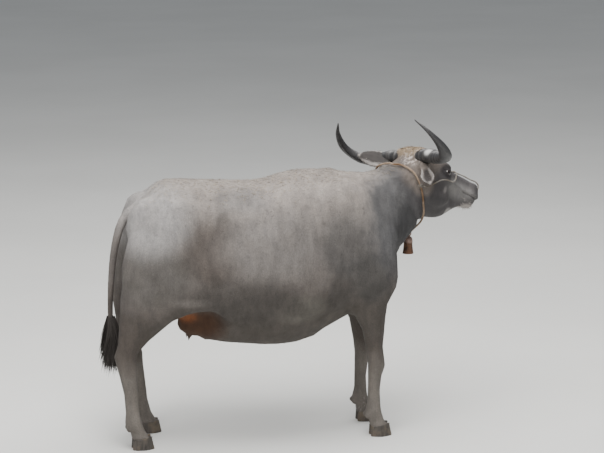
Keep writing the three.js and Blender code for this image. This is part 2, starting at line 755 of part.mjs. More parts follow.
const EAR = {
  thickness: 8,
  [LEFT]: { tip: vec(-116, 150, 38), opening: vec(0.75, 0.3, -0.5), length: 205, width: 60, depth: 24 },
  [RIGHT]: { tip: vec(-34, 128, -139), opening: vec(-0.7, 0.35, 0.4), length: 188, width: 34, depth: 26 },
};

// A leaf-shaped cup on a short stalk; the right one droops
function ear(hand, grown = 0) {
  const turn = new THREE.Matrix3().setFromMatrix4(headFrame);
  const mirror = (v) => vec(v.x, hand * v.y, v.z).applyMatrix3(turn);
  const axis = mirror(EAR[hand].tip).normalize();
  const opening = mirror(EAR[hand].opening);
  opening.addScaledVector(axis, -opening.dot(axis)).normalize();
  const across = axis.clone().cross(opening);
  const root = onHead(EAR_ROOT.x, hand * EAR_ROOT.y, EAR_ROOT.z);
  const { length, width, depth } = EAR[hand];
  const outline = [
    [0, 20],
    [120, 22],
    [280, 0.7 * width],
    [500, width],
    [750, 0.76 * width],
    [920, 0.4 * width],
    [1000, 7],
  ];
  const half = profile(outline);
  const cup = profile([[0, 0], [100, 0], [220, 0.75], [400, 1], [750, 0.8], [1000, 0.3]]);
  const steps = 10;
  const arc = 6;
  const rings = [];
  for (let step = 0; step <= steps; step++) {
    const t = step / steps;
    const wide = half(t * 1000)[0] + grown;
    const open = cup(t * 1000)[0];
    const deep = Math.min(depth, wide) * (0.55 + 0.45 * open) + grown;
    const bend = 26 * t * t;
    const centre = root.clone().addScaledVector(axis, length * t - 14 - (step ? 0 : grown));
    centre.addScaledVector(opening, bend);
    const front = deep * (1 - open) - (deep - EAR.thickness - 2 * grown) * open;
    const ring = [];
    for (let k = 0; k <= arc; k++) {
      const angle = Math.PI * (k / arc - 0.5);
      const corner = centre.clone().addScaledVector(across, wide * Math.sin(angle));
      ring.push(corner.addScaledVector(opening, -deep * Math.cos(angle)));
    }
    for (let k = arc - 1; k > 0; k--) {
      const angle = Math.PI * (k / arc - 0.5);
      const inner = wide - 3 * open;
      const corner = centre.clone().addScaledVector(across, inner * Math.sin(angle));
      ring.push(corner.addScaledVector(opening, front * Math.cos(angle) + 2.5 * open));
    }
    rings.push(ring.reverse());
  }
  return loft(rings);
}

function eye(hand, grown = 0) {
  const place = onHead(EYE.x, hand * EYE.y, EYE.z);
  const ball = new THREE.SphereGeometry(EYE_RADIUS + grown, 12, 8);
  return solidOf(ball, new THREE.Matrix4().setPosition(place));
}

// Cloven hoof: two claws with flat soles under a coronet that slopes down to the heel
const CLAW = { length: 104, width: 45, between: 3, slope: 0.16 };
const coronetNormal = vec(-CLAW.slope, 0, 1).normalize();

function claw(centre, inner) {
  const rings = [0, 0.5, 1].map((rise) => {
    const shrink = 1 - 0.1 * rise;
    return Array.from({ length: 12 }, (_, k) => {
      const angle = (k / 12) * 2 * Math.PI;
      const ahead = Math.cos(angle);
      const out = Math.sin(angle);
      const point = 1 - 0.36 * Math.max(ahead, 0) ** 2;
      const x = (ahead * CLAW.length * 0.5 + 10 - rise * 14 * Math.max(ahead, 0)) * shrink;
      const spread = CLAW.width / 2 + CLAW.between / 2;
      const y = inner * (spread * (0.94 + 0.06 * rise) - 5 * Math.max(ahead, 0) * (1 - rise));
      const height = rise * (CORONET + 20);
      return vec(centre.x + x, centre.y + y + out * (CLAW.width / 2) * point * shrink, height);
    });
  });
  const whole = loft(rings);
  return trim(whole, vec(centre.x, 0, CORONET), coronetNormal.clone().negate());
}

// Two small claws behind the fetlock
function dewclaws(foot) {
  const pair = [LEFT, RIGHT].map((hand) => {
    const matrix = new THREE.Matrix4().makeRotationY(-0.5);
    matrix.setPosition(foot.x - 62, foot.y + hand * 22, 100);
    return solidOf(new THREE.SphereGeometry(1, 6, 4).scale(13, 12, 21), matrix);
  });
  return pair[0].add(pair[1]);
}

const TAIL_PATH = [
  vec(-570, 0, 1136),
  vec(-628, 0, 1116),
  vec(-676, 0, 1060),
  vec(-710, 0, 950),
  vec(-730, 4, 790),
  vec(-736, 8, 620),
  vec(-733, 10, 520),
];

function tail(grown = 0) {
  const curve = new THREE.CatmullRomCurve3(TAIL_PATH);
  const radii = (t) => {
    const taper = 14 + 13 * (1 - t) ** 1.5 + 9 * Math.exp(-((t / 0.12) ** 2));
    return [taper, taper];
  };
  return loft(ringsAlong(curve, 16, 10, vec(-1, 0, 0.2), radii, grown));
}

// Numbers from 0 to 1 that look random and come out the same each time
function draws(seed) {
  let state = seed;
  return () => {
    state = (state * 1664525 + 1013904223) % 4294967296;
    return state / 4294967296;
  };
}

// Switch at the tail's end: a short core with flat tapered locks of hair rooted in it
const SWITCH = { top: 580, core: 110, locks: 15, longest: 215, shortest: 130, seed: 11 };
const LOCK = { width: 14, thickness: 5 };

function lock(root, angle, length, spread, width) {
  const outward = vec(Math.cos(angle), Math.sin(angle), 0);
  const sideways = vec(-Math.sin(angle), Math.cos(angle), 0);
  const route = [
    [0, 0],
    [0.3, 0.75],
    [0.65, 1],
    [1, 0.45],
  ].map(([down, out]) => {
    const place = root.clone().addScaledVector(outward, spread * out);
    return place.addScaledVector(sideways, 0.25 * spread * down * down).setZ(root.z - length * down);
  });
  const radii = (t) => {
    const taper = Math.sin(Math.PI * Math.min(0.25 + 0.75 * t, 0.985)) ** 0.8;
    return [width * taper, LOCK.thickness * taper];
  };
  return loft(ringsAlong(new THREE.CatmullRomCurve3(route), 4, 4, outward, radii));
}

function tailSwitch() {
  const draw = draws(SWITCH.seed);
  const end = TAIL_PATH.at(-1);
  const axis = (z) => end.clone().lerp(TAIL_PATH.at(-2), (z - end.z) / 100).setZ(z);
  const stem = new THREE.CatmullRomCurve3([0, 0.5, 1].map((down) => axis(SWITCH.top - SWITCH.core * down)));
  let whole = loft(ringsAlong(stem, 3, 8, vec(-1, 0, 0), (t) => [14 - 7 * t, 14 - 7 * t]));
  for (let index = 0; index < SWITCH.locks; index++) {
    const turn = (index * 0.382 + 0.08 * draw()) * 2 * Math.PI;
    const rise = index / SWITCH.locks;
    const root = axis(SWITCH.top - 14 - 0.75 * SWITCH.core * rise);
    const share = (0.35 + 0.65 * draw()) * (1 - 0.35 * rise);
    const length = SWITCH.shortest + (SWITCH.longest - SWITCH.shortest) * share;
    const spread = 12 + 14 * draw();
    whole = whole.add(lock(root, turn, length, spread, LOCK.width * (0.8 + 0.4 * draw())));
  }
  return largest(whole.trimByPlane([0, 0, -1], GAP - SWITCH.top));
}

const UDDER = { centre: vec(-330, 0, 566), radii: [92, 96, 66], teat: [11, 44] };
function udder(grown = 0) {
  const scaled = UDDER.radii.map((radius) => radius + grown);
  const bag = new THREE.SphereGeometry(1, 16, 9).scale(...scaled);
  let whole = solidOf(bag, new THREE.Matrix4().setPosition(UDDER.centre));
  for (const hand of [LEFT, RIGHT]) {
    for (const fore of [-1, 1]) {
      const teat = new THREE.CapsuleGeometry(UDDER.teat[0], UDDER.teat[1], 2, 7).rotateX(Math.PI / 2);
      const place = vec(UDDER.centre.x + fore * 38, hand * 38, UDDER.centre.z - 56);
      whole = whole.add(solidOf(teat, new THREE.Matrix4().setPosition(place)));
    }
  }
  return whole;
}

// Neck cord: a loose loop of rope, lowest in front of the chest
const NECK_CORD = { radius: 5, sides: 8, steps: 46 };
const RIGHT_KNOT = vec(757, -37, 1190);
const LEFT_KNOT = vec(754, 188, 1168);
const NECK_CORD_LOW = vec(734, 100, 932);
const neckCordPath = [
  vec(628, 48, 1288),
  vec(641, 22, 1287),
  vec(665, 10, 1287),
  vec(689, -11, 1280),
  vec(721, -38, 1257),
  vec(739, -43, 1229),
  RIGHT_KNOT,
  vec(770, -34, 1140),
  vec(776, -26, 1097),
  vec(782, -9, 1050),
  vec(778, 30, 1002),
  vec(757, 68, 964),
  NECK_CORD_LOW,
  vec(752, 128, 966),
  vec(772, 150, 1012),
  vec(778, 165, 1060),
  vec(773, 184, 1110),
  LEFT_KNOT,
  vec(716, 180, 1192),
  vec(682, 171, 1197),
  vec(649, 166, 1197),
  vec(615, 158, 1202),
  vec(586, 143, 1219),
  vec(576, 119, 1248),
  vec(585, 80, 1275),
  vec(606, 60, 1285),
];

function rope(path, { radius, sides, steps }, grown, closed = false) {
  const curve = new THREE.CatmullRomCurve3(path, closed);
  const { normals, binormals } = curve.computeFrenetFrames(steps, closed);
  const rings = [];
  for (let step = 0; step < steps + (closed ? 0 : 1); step++) {
    const centre = curve.getPointAt(step / steps);
    rings.push(Array.from({ length: sides }, (_, side) => {
      const angle = (side / sides) * 2 * Math.PI;
      const corner = centre.clone().addScaledVector(normals[step], (radius + grown) * Math.cos(angle));
      return corner.addScaledVector(binormals[step], (radius + grown) * Math.sin(angle));
    }));
  }
  return loft(rings, closed);
}

const neckCord = (grown = 0) => rope(neckCordPath, NECK_CORD, grown, true);

// Nose rope: through the nostrils, over the bridge, below the eyes and tied to the neck cord
const NOSE_ROPE = { radius: 3.5, sides: 8 };
const KNOT_RADIUS = 11;
const bridgeHalf = [
  [446, 46, -72],
  [444, 48, -52],
  [424, 48, -40],
  [388, 42, -38],
  [348, 28, -32],
  [312, 12, -28.5],
];
const cheekHalf = [
  [72, 94, -180],
  [105, 100, -152],
  [126, 106, -132],
  [152, 110, -118],
  [186, 112, -112],
  [216, 104, -107],
  [241, 92, -91],
  [263, 70, -63],
  [280, 50, -44],
  [290, 22, -29.5],
];

function noseRope(grown = 0) {
  const mirrored = (half, hand) => half.map(([x, y, z]) => onHead(x, hand * y, z));
  const across = [
    ...mirrored(bridgeHalf, RIGHT),
    onHead(296, 0, -27),
    ...mirrored(bridgeHalf, LEFT).reverse(),
  ];
  const back = [
    RIGHT_KNOT,
    ...mirrored(cheekHalf, RIGHT),
    onHead(294, 0, -27),
    ...mirrored(cheekHalf, LEFT).reverse(),
    LEFT_KNOT,
  ];
  let whole = rope(across, { ...NOSE_ROPE, steps: 20 }, grown);
  whole = whole.add(rope(back, { ...NOSE_ROPE, steps: 38 }, grown));
  for (const knot of [RIGHT_KNOT, LEFT_KNOT]) {
    const ball = new THREE.SphereGeometry(KNOT_RADIUS + grown, 8, 6);
    whole = whole.add(solidOf(ball, new THREE.Matrix4().setPosition(knot)));
  }
  return whole;
}

// Small cow bell, hollow, hung on the neck cord by a ring
const BELL = { height: 84, shoulder: 17, mouth: 27, wall: 3, ring: 14, ringWire: 3, clapper: 8 };

function bell() {
  const { height, shoulder, mouth, wall, ring, ringWire, clapper } = BELL;
  const profilePoints = [
    [0, 0],
    [shoulder, -4],
    [shoulder + 4, -16],
    [mouth, -height],
    [mouth - wall, -height],
    [shoulder + 4 - wall, -16 - wall],
    [shoulder - wall, -4 - wall],
    [0, -wall - 1],
  ].map(([radius, height]) => new THREE.Vector2(radius, height));
  const upright = new THREE.Matrix4().makeRotationX(Math.PI / 2);
  let whole = solidOf(new THREE.LatheGeometry(profilePoints.reverse(), 18), upright);
  const loop = new THREE.TorusGeometry(ring, ringWire, 6, 12).rotateY(Math.PI / 2);
  whole = whole.add(solidOf(loop.rotateZ(Math.PI / 2), new THREE.Matrix4().setPosition(0, 0, ring)));
  const stem = new THREE.CylinderGeometry(2.2, 2.2, height - 22, 8).rotateX(Math.PI / 2);
  whole = whole.add(solidOf(stem, new THREE.Matrix4().setPosition(0, 0, -(height - 22) / 2 - 2)));
  const ball = new THREE.SphereGeometry(clapper, 8, 6);
  whole = whole.add(solidOf(ball, new THREE.Matrix4().setPosition(0, 0, -height + 18)));
  const slack = 5;
  const drop = 2 * ring - ringWire - NECK_CORD.radius - slack;
  return whole.translate([NECK_CORD_LOW.x, NECK_CORD_LOW.y, NECK_CORD_LOW.z - drop]);
}

// Parting planes and slabs
const NECK_CUT = { at: vec(470, 0, 1110), normal: vec(0.86, 0, 0.5) };
const headTurn = headFrame.clone().setPosition(0, 0, 0);
const HEAD_CUT = {
  at: onHead(-44, 0, -90),
  normal: vec(0.8, 0, 0.6).applyMatrix4(headTurn),
  down: vec(0.6, 0, -0.8).applyMatrix4(headTurn),
  depth: 372, // from the ears' level to below the throat
};

// The room in front of the cut that the head takes up
function headSpace() {
  const side = HEAD_CUT.down.clone().cross(HEAD_CUT.normal);
  const size = vec(900, 900, 300 + HEAD_CUT.depth);
  const matrix = new THREE.Matrix4().makeBasis(HEAD_CUT.normal, side, HEAD_CUT.down);
  const centre = HEAD_CUT.at.clone().addScaledVector(HEAD_CUT.normal, size.x / 2 - GAP / 2);
  centre.addScaledVector(HEAD_CUT.down, HEAD_CUT.depth - size.z / 2);
  return solidOf(new THREE.BoxGeometry(...size.toArray()), matrix.setPosition(centre));
}

function legSlab(centre, run, rise, size) {
  const x = vec(1, 0, run).normalize();
  const normal = vec(-run, -rise, 1).normalize();
  const matrix = new THREE.Matrix4().makeBasis(x, normal.clone().cross(x), normal);
  return solidOf(new THREE.BoxGeometry(size[0], size[1], GAP), matrix.setPosition(centre));
}

const bodyBox = new THREE.Box3(vec(-830, -420, -10), vec(960, 420, 1400));
function bodyField(x, y, z) {
  const margin = 2 * BODY_CELL;
  point.set(x, y, z).sub(HEAD_CUT.at);
  const ahead = point.dot(HEAD_CUT.normal) - margin;
  const above = HEAD_CUT.depth - margin / 2 - point.dot(HEAD_CUT.down);
  return Math.max(animal(x, y, z), Math.min(ahead, above));
}
const bodySolid = solid(thin(skin(bodyField, bodyBox, BODY_CELL), BODY_FACES));

const headLocal = (x, y, z) => {
  point.set(x, y, z).applyMatrix4(headFrame);
  return animal(point.x, point.y, point.z);
};
const headRoom = new THREE.Box3(vec(-150, -150, -320), vec(500, 150, 70));
const headMesh = thin(skin(headLocal, headRoom, HEAD_CELL), HEAD_FACES);
for (let index = 0; index < headMesh.points.length; index += 3) {
  onHead(...headMesh.points.slice(index, index + 3)).toArray(headMesh.points, index);
}
const headSolid = solid(headMesh);

const model = new THREE.Group();
const materials = {
  hide: new THREE.MeshStandardMaterial({ color: 0x6f6a66, roughness: 0.8, metalness: 0 }),
  horn: new THREE.MeshStandardMaterial({ color: 0x2e2d2e, roughness: 0.45, metalness: 0 }),
  hair: new THREE.MeshStandardMaterial({ color: 0x2f2a27, roughness: 0.9, metalness: 0 }),
  eye: new THREE.MeshStandardMaterial({ color: 0x1a1411, roughness: 0.1, metalness: 0 }),
  rope: new THREE.MeshStandardMaterial({ color: 0xb9b2a0, roughness: 0.9, metalness: 0 }),
  bell: new THREE.MeshStandardMaterial({ color: 0x6a5038, roughness: 0.6, metalness: 0.4 }),
};

// Where two sheets of one body touch, each copy of a shared point draws back into its own sheet
function unstick(geometry) {
  const drawBack = 0.05;
  const position = geometry.attributes.position.array;
  const normal = geometry.attributes.normal.array;
  const copies = new Map();
  for (let start = 0; start < position.length; start += 3) {
    const place = [...position.subarray(start, start + 3)].map((part) => part.toFixed(3)).join();
    copies.set(place, [...(copies.get(place) ?? []), start]);
  }
  for (const shared of copies.values()) {
    if (shared.length === 1) continue;
    for (const start of shared) {
      for (const axis of [0, 1, 2]) position[start + axis] -= drawBack * normal[start + axis];
    }
  }
}

function piece(name, shape, material) {
  const mesh = shape.getMesh();
  const geometry = new THREE.BufferGeometry();
  geometry.setAttribute("position", new THREE.BufferAttribute(mesh.vertProperties, mesh.numProp));
  geometry.setIndex(new THREE.BufferAttribute(mesh.triVerts, 1));
  geometry.translate(-CENTRE.x, -CENTRE.y, -CENTRE.z);
  geometry.computeVertexNormals();
  unstick(geometry);
  const sub = new THREE.Mesh(geometry, material.clone());
  sub.name = name;
  model.add(sub);
}

const SIDES = { left: LEFT, right: RIGHT };

let head = trim(headSolid, HEAD_CUT.at, HEAD_CUT.normal);
let neckPiece = trim(bodySolid.subtract(headSpace()), NECK_CUT.at, NECK_CUT.normal);
for (const [name, hand] of Object.entries(SIDES)) {
  head = head.subtract(horn(hand, SEAT)).subtract(ear(hand, SEAT)).subtract(eye(hand, SEAT));
  neckPiece = neckPiece.subtract(horn(hand, SEAT)).subtract(ear(hand, SEAT));
  piece(`horn_${name}`, horn(hand), materials.horn);
  piece(`ear_${name}`, largest(ear(hand).subtract(horn(hand, SEAT))), materials.hide);
  piece(`eye_${name}`, eye(hand), materials.eye);
}
piece("head", largest(head.subtract(noseRope(SEAT))), materials.hide);
piece("neck", largest(neckPiece.subtract(noseRope(SEAT))), materials.hide);
piece("neck_cord", neckCord(), materials.rope);
piece("nose_rope", largest(noseRope().subtract(neckCord(SEAT))), materials.rope);
piece("bell", bell(), materials.bell);

let torso = trim(bodySolid, NECK_CUT.at, NECK_CUT.normal.clone().negate());
torso = torso.subtract(tail(SEAT)).subtract(udder(SEAT));
for (const hand of [LEFT, RIGHT]) {
  torso = torso.subtract(legSlab(vec(FORELEG.x, hand * 196, 654), 0.45, hand * 0.55, [330, 330]));
  torso = torso.subtract(legSlab(vec(-590, hand * 210, 664), -0.3, hand * 0.62, [420, 360]));
}
const bodyPieces = torso.decompose().sort((a, b) => b.volume() - a.volume());
piece("torso", bodyPieces[0], materials.hide);
for (const [name, hand] of Object.entries(SIDES)) {
  for (const [kind, foot] of [
    ["foreleg", vec(FORELEG.x + 20, hand * FORELEG.spread, 0)],
    ["hindleg", vec(HINDLEG.x + 20 + HIND_STEP[hand], hand * HINDLEG.spread, 0)],
  ]) {
    const leg = bodyPieces.slice(1).find((part) => {
      const box = part.boundingBox();
      return box.min[0] < foot.x && box.max[0] > foot.x && box.min[1] < foot.y && box.max[1] > foot.y;
    });
    const shank = trim(leg, vec(foot.x, 0, CORONET), coronetNormal);
    piece(`${kind}_${name}`, largest(shank.add(dewclaws(foot))), materials.hide);
    for (const [place, inner] of [["outer", hand], ["inner", -hand]]) {
      piece(`hoof_${kind.replace("leg", "")}_${name}_${place}`, claw(foot, inner), materials.horn);
    }
  }
}
piece("tail", tail().trimByPlane([0, 0, 1], SWITCH.top), materials.hide);
piece("tail_switch", tailSwitch(), materials.hair);
piece("udder", udder(), materials.hide);

export default model;
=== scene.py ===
import math
import bmesh
import bpy
import numpy as np
from mathutils import Euler, Matrix, Vector
from mathutils.bvhtree import BVHTree


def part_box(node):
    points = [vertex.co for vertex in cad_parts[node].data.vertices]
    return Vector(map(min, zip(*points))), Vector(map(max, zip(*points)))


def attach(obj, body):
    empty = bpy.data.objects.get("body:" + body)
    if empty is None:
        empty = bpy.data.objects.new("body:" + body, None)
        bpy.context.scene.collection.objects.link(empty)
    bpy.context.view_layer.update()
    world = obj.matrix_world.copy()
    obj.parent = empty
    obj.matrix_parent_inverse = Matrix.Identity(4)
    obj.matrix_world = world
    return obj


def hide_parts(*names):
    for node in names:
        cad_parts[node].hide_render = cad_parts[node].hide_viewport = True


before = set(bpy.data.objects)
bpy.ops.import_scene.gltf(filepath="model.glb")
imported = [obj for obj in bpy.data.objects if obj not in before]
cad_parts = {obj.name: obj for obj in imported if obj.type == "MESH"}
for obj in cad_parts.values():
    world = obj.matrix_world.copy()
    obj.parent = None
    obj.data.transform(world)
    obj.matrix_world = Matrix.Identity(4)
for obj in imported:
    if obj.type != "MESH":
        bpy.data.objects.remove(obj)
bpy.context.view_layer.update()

# Camera
# The animal is seen from its right, a little from behind and from above eye height,
# through a long lens. Its head turns away and to the left of the picture's right edge.
CAMERA_TURN = math.radians(-12)
CAMERA_RISE = math.radians(11)
CAMERA_DISTANCE = 12.5
LENS = 154.6
SENSOR = 36
AIM_ALONG = 0.183
AIM_UP = 0.995
FRAME_CENTRE = Vector((0.178, 0, 0))


def linked(name, data):
    made = bpy.data.objects.new(name, data)
    bpy.context.scene.collection.objects.link(made)
    return made


camera_right = Vector((math.cos(CAMERA_TURN), math.sin(CAMERA_TURN), 0))
camera_back = Vector((
    math.sin(CAMERA_TURN) * math.cos(CAMERA_RISE),
    -math.cos(CAMERA_TURN) * math.cos(CAMERA_RISE),
    math.sin(CAMERA_RISE),
))
camera_up = camera_back.cross(camera_right)
camera_data = bpy.data.cameras.new("camera")
camera_data.lens = LENS
camera_data.sensor_width = SENSOR
camera_data.sensor_fit = "HORIZONTAL"
camera_data.clip_end = 200
camera = linked("camera", camera_data)
aim = camera_right * AIM_ALONG + camera_up * AIM_UP - FRAME_CENTRE
turn = Matrix((camera_right, camera_up, camera_back)).transposed().to_4x4()
camera.matrix_world = Matrix.Translation(aim + camera_back * CAMERA_DISTANCE) @ turn
bpy.context.scene.camera = camera

# Neck cord and nose rope
# Two weathered three-strand ropes. The neck cord is a loose closed loop round the neck. The
# nose rope goes through the nostrils, over the bridge and round the cheeks to two knots on it.
NECK_CORD_RADIUS = 0.005
NOSE_ROPE_RADIUS = 0.0035
KNOT_RADIUS = 0.011
ROPE_STEP = 0.0022
NECK_CORD_LAY = 0.026
NOSE_ROPE_LAY = 0.019
STRAND_OUT = 0.52
STRAND_RADIUS = 0.5
HEAD_TURN = Euler((math.radians(-9), math.radians(25), math.radians(27)))
CROWN = Vector((0.746, 0.080, 1.359))
NECK_CORD_ROUTE = [
    (628, 48, 1288), (641, 22, 1287), (665, 10, 1287), (689, -11, 1280), (721, -38, 1257),
    (739, -43, 1229), (757, -37, 1190), (770, -34, 1140), (776, -26, 1097), (782, -9, 1050),
    (778, 30, 1002), (757, 68, 964), (734, 100, 932), (752, 128, 966), (772, 150, 1012),
    (778, 165, 1060), (773, 184, 1110), (754, 188, 1168), (716, 180, 1192), (682, 171, 1197),
    (649, 166, 1197), (615, 158, 1202), (586, 143, 1219), (576, 119, 1248), (585, 80, 1275),
    (606, 60, 1285),
]
RIGHT_KNOT = (757, -37, 1190)
LEFT_KNOT = (754, 188, 1168)
BRIDGE_HALF = [
    (446, 46, -72), (444, 48, -52), (424, 48, -40), (388, 42, -38), (348, 28, -32), (312, 12, -28.5),
]
CHEEK_HALF = [
    (72, 94, -180), (105, 100, -152), (126, 106, -132), (152, 110, -118), (186, 112, -112),
    (216, 104, -107), (241, 92, -91), (263, 70, -63), (280, 50, -44), (290, 22, -29.5),
]

head_matrix = Matrix.Translation(CROWN - FRAME_CENTRE) @ HEAD_TURN.to_matrix().to_4x4()


def on_body(x, y, z):
    return Vector((x / 1000, y / 1000, z / 1000)) - FRAME_CENTRE


def on_head(x, y, z):
    return head_matrix @ Vector((x / 1000, y / 1000, z / 1000))


def smooth_route(points, closed=False, step=ROPE_STEP):
    """Even steps along a centripetal curve through the points"""
    knots = [np.array(point) for point in points]
    if closed:
        knots = [knots[-1], *knots, knots[0], knots[1]]
    else:
        knots = [2 * knots[0] - knots[1], *knots, 2 * knots[-1] - knots[-2]]
    fine = []
    t = np.linspace(0, 1, 24, endpoint=False)[:, None]
    for a, b, c, d in zip(knots, knots[1:], knots[2:], knots[3:]):
        before, here, after = (np.linalg.norm(q - p) ** 0.5 for p, q in ((a, b), (b, c), (c, d)))
        leave = ((b - a) / before - (c - a) / (before + here) + (c - b) / here) * here
        arrive = ((c - b) / here - (d - b) / (here + after) + (d - c) / after) * here
        bend = 3 * (c - b) - 2 * leave - arrive
        fine.append(b + leave * t + bend * t**2 + (2 * (b - c) + leave + arrive) * t**3)
    fine = np.vstack([*fine, knots[-2]])
    run = np.concatenate([[0], np.cumsum(np.linalg.norm(np.diff(fine, axis=0), axis=1))])
    count = max(int(run[-1] / step), 2)
    stops = np.linspace(0, run[-1], count + 1)
    return np.stack([np.interp(stops, run, fine[:, axis]) for axis in range(3)], axis=1)


def node(tree, kind, inputs=(), **settings):
    """Adds a node, with its settings and with values or sockets for its inputs"""
    made = tree.nodes.new(kind)
    for name, value in settings.items():
        setattr(made, name, value)
    for key, value in dict(inputs).items():
        if isinstance(value, bpy.types.NodeSocket):
            tree.links.new(value, made.inputs[key])
        else:
            made.inputs[key].default_value = value
    return made


def maths(tree, operation, *values):
    return node(tree, "ShaderNodeMath", enumerate(values), operation=operation).outputs[0]


def vector_maths(tree, operation, *values):
    made = node(tree, "ShaderNodeVectorMath", enumerate(values), operation=operation)
    return made.outputs["Value" if operation in ("LENGTH", "DOT_PRODUCT") else "Vector"]


def geometry_tree(name, numbers):
    """A Geometry Nodes tree that takes a shape, some numbers and a material"""
    tree = bpy.data.node_groups.new(name, "GeometryNodeTree")
    tree.interface.new_socket("Shape", in_out="INPUT", socket_type="NodeSocketGeometry")
    for label, default in numbers.items():
        kind = "NodeSocketInt" if isinstance(default, int) else "NodeSocketFloat"
        tree.interface.new_socket(label, in_out="INPUT", socket_type=kind).default_value = default
    tree.interface.new_socket("Material", in_out="INPUT", socket_type="NodeSocketMaterial")
    tree.interface.new_socket("Shape", in_out="OUTPUT", socket_type="NodeSocketGeometry")
    return tree, node(tree, "NodeGroupInput").outputs


def close_tree(tree, shape, material):
    """Ends a tree with its copies made real and its material set"""
    real = node(tree, "GeometryNodeRealizeInstances", {0: shape})
    painted = node(tree, "GeometryNodeSetMaterial", {"Geometry": real.outputs[0], "Material": material})
    node(tree, "NodeGroupOutput", {0: painted.outputs[0]})


def grow(name, source, tree, values):
    """A plain mesh object from a tree run on a source object, which is then removed"""
    modifier = source.modifiers.new("grow", "NODES")
    modifier.node_group = tree
    for item in tree.interface.items_tree:
        if item.in_out == "INPUT" and item.name in values:
            modifier[item.identifier] = values[item.name]
    seen = bpy.context.evaluated_depsgraph_get()
    mesh = bpy.data.meshes.new_from_object(source.evaluated_get(seen))
    mesh.name = name
    bpy.data.objects.remove(source)
    return placed(name, mesh)


def placed(name, mesh):
    mesh.shade_smooth()
    return linked(name, mesh)


def rope_tree():
    """Three strands wound round a route"""
    tree, given = geometry_tree("twisted_rope", {"Radius": 0.005, "Lay": 0.03})
    along = node(tree, "GeometryNodeSplineParameter").outputs["Length"]
    tangent = node(tree, "GeometryNodeInputTangent").outputs[0]
    normal = node(tree, "GeometryNodeInputNormal").outputs[0]
    side = vector_maths(tree, "CROSS_PRODUCT", tangent, normal)
    twist = maths(tree, "MULTIPLY", maths(tree, "DIVIDE", along, given["Lay"]), math.tau)
    out = maths(tree, "MULTIPLY", given["Radius"], STRAND_OUT)
    thick = maths(tree, "MULTIPLY", given["Radius"], STRAND_RADIUS)
    profile = node(tree, "GeometryNodeCurvePrimitiveCircle", {"Resolution": 8, "Radius": thick})
    joined = node(tree, "GeometryNodeJoinGeometry")
    for strand in range(3):
        angle = maths(tree, "ADD", twist, strand * math.tau / 3)
        reach = node(tree, "ShaderNodeCombineXYZ", {
            "X": maths(tree, "MULTIPLY", maths(tree, "COSINE", angle), out),
            "Y": maths(tree, "MULTIPLY", maths(tree, "SINE", angle), out),
        })
        parts = node(tree, "ShaderNodeSeparateXYZ", {0: reach.outputs[0]}).outputs
        over = node(tree, "ShaderNodeVectorMath", {0: normal, "Scale": parts["X"]}, operation="SCALE")
        aside = node(tree, "ShaderNodeVectorMath", {0: side, "Scale": parts["Y"]}, operation="SCALE")
        offset = vector_maths(tree, "ADD", over.outputs[0], aside.outputs[0])
        moved = node(tree, "GeometryNodeSetPosition", {"Geometry": given["Shape"], "Offset": offset})
        tube = node(tree, "GeometryNodeCurveToMesh", {
            "Curve": moved.outputs[0], "Profile Curve": profile.outputs[0], "Fill Caps": True,
        })
        tree.links.new(tube.outputs[0], joined.inputs[0])
    close_tree(tree, joined.outputs[0], given["Material"])
    return tree


def route_curve(routes):
    data = bpy.data.curves.new("route", "CURVE")
    data.dimensions = "3D"
    for points, closed in routes:
        spline = data.splines.new("POLY")
        points = points[:-1] if closed else points
        spline.points.add(len(points) - 1)
        spline.points.foreach_set("co", np.hstack([points, np.ones((len(points), 1))]).ravel())
        spline.use_cyclic_u = closed
    return linked("route", data)


def shader(name, **constants):
    """A material with one principled shader, its constants set, and the place on its object"""
    material = bpy.data.materials.new(name)
    material.use_nodes = True
    tree = material.node_tree
    principled = tree.nodes["Principled BSDF"]
    for key, value in constants.items():
        principled.inputs[key.replace("_", " ")].default_value = value
    place = node(tree, "ShaderNodeTexCoord").outputs["Object"]
    return material, tree, principled, place


def noise(tree, position, scale, detail=4, roughness=0.55, stretch=(1, 1, 1)):
    stretched = vector_maths(tree, "MULTIPLY", position, stretch)
    made = node(tree, "ShaderNodeTexNoise", {
        "Vector": stretched, "Scale": scale, "Detail": detail, "Roughness": roughness,
    })
    return made.outputs[0]


def ramp(tree, value, low, high, start=0.0, end=1.0):
    made = node(tree, "ShaderNodeMapRange", {
        "Value": value, "From Min": low, "From Max": high, "To Min": start, "To Max": end,
    }, interpolation_type="SMOOTHSTEP")
    return made.outputs[0]


def mixed(tree, share, first, second, way="MIX"):
    made = node(tree, "ShaderNodeMix", {0: share, 6: first, 7: second}, data_type="RGBA", blend_type=way)
    return made.outputs[2]


def tones(tree, value, low, high, first, second):
    """From the first colour to the second as the value rises from low to high"""
    return mixed(tree, ramp(tree, value, low, high), first, second)


def bump(tree, principled, height, distance, strength=1.0):
    made = node(tree, "ShaderNodeBump", {"Height": height, "Distance": distance, "Strength": strength})
    tree.links.new(made.outputs[0], principled.inputs["Normal"])


def rope_finish(name, pale, dark):
    material, tree, principled, place = shader(name, Roughness=0.92, Specular_IOR_Level=0.25)
    fibres = noise(tree, place, 900, 3, 0.7)
    wear_and_highlight = tones(tree, noise(tree, place, 14, 3), 0.38, 0.66, (*pale, 1), (*dark, 1))
    fray = tones(tree, fibres, 0.35, 0.7, (0.55, 0.55, 0.55, 1), (1, 1, 1, 1))
    tree.links.new(mixed(tree, 1.0, wear_and_highlight, fray, "MULTIPLY"), principled.inputs["Base Color"])
    bump(tree, principled, fibres, 0.0006)
    return material


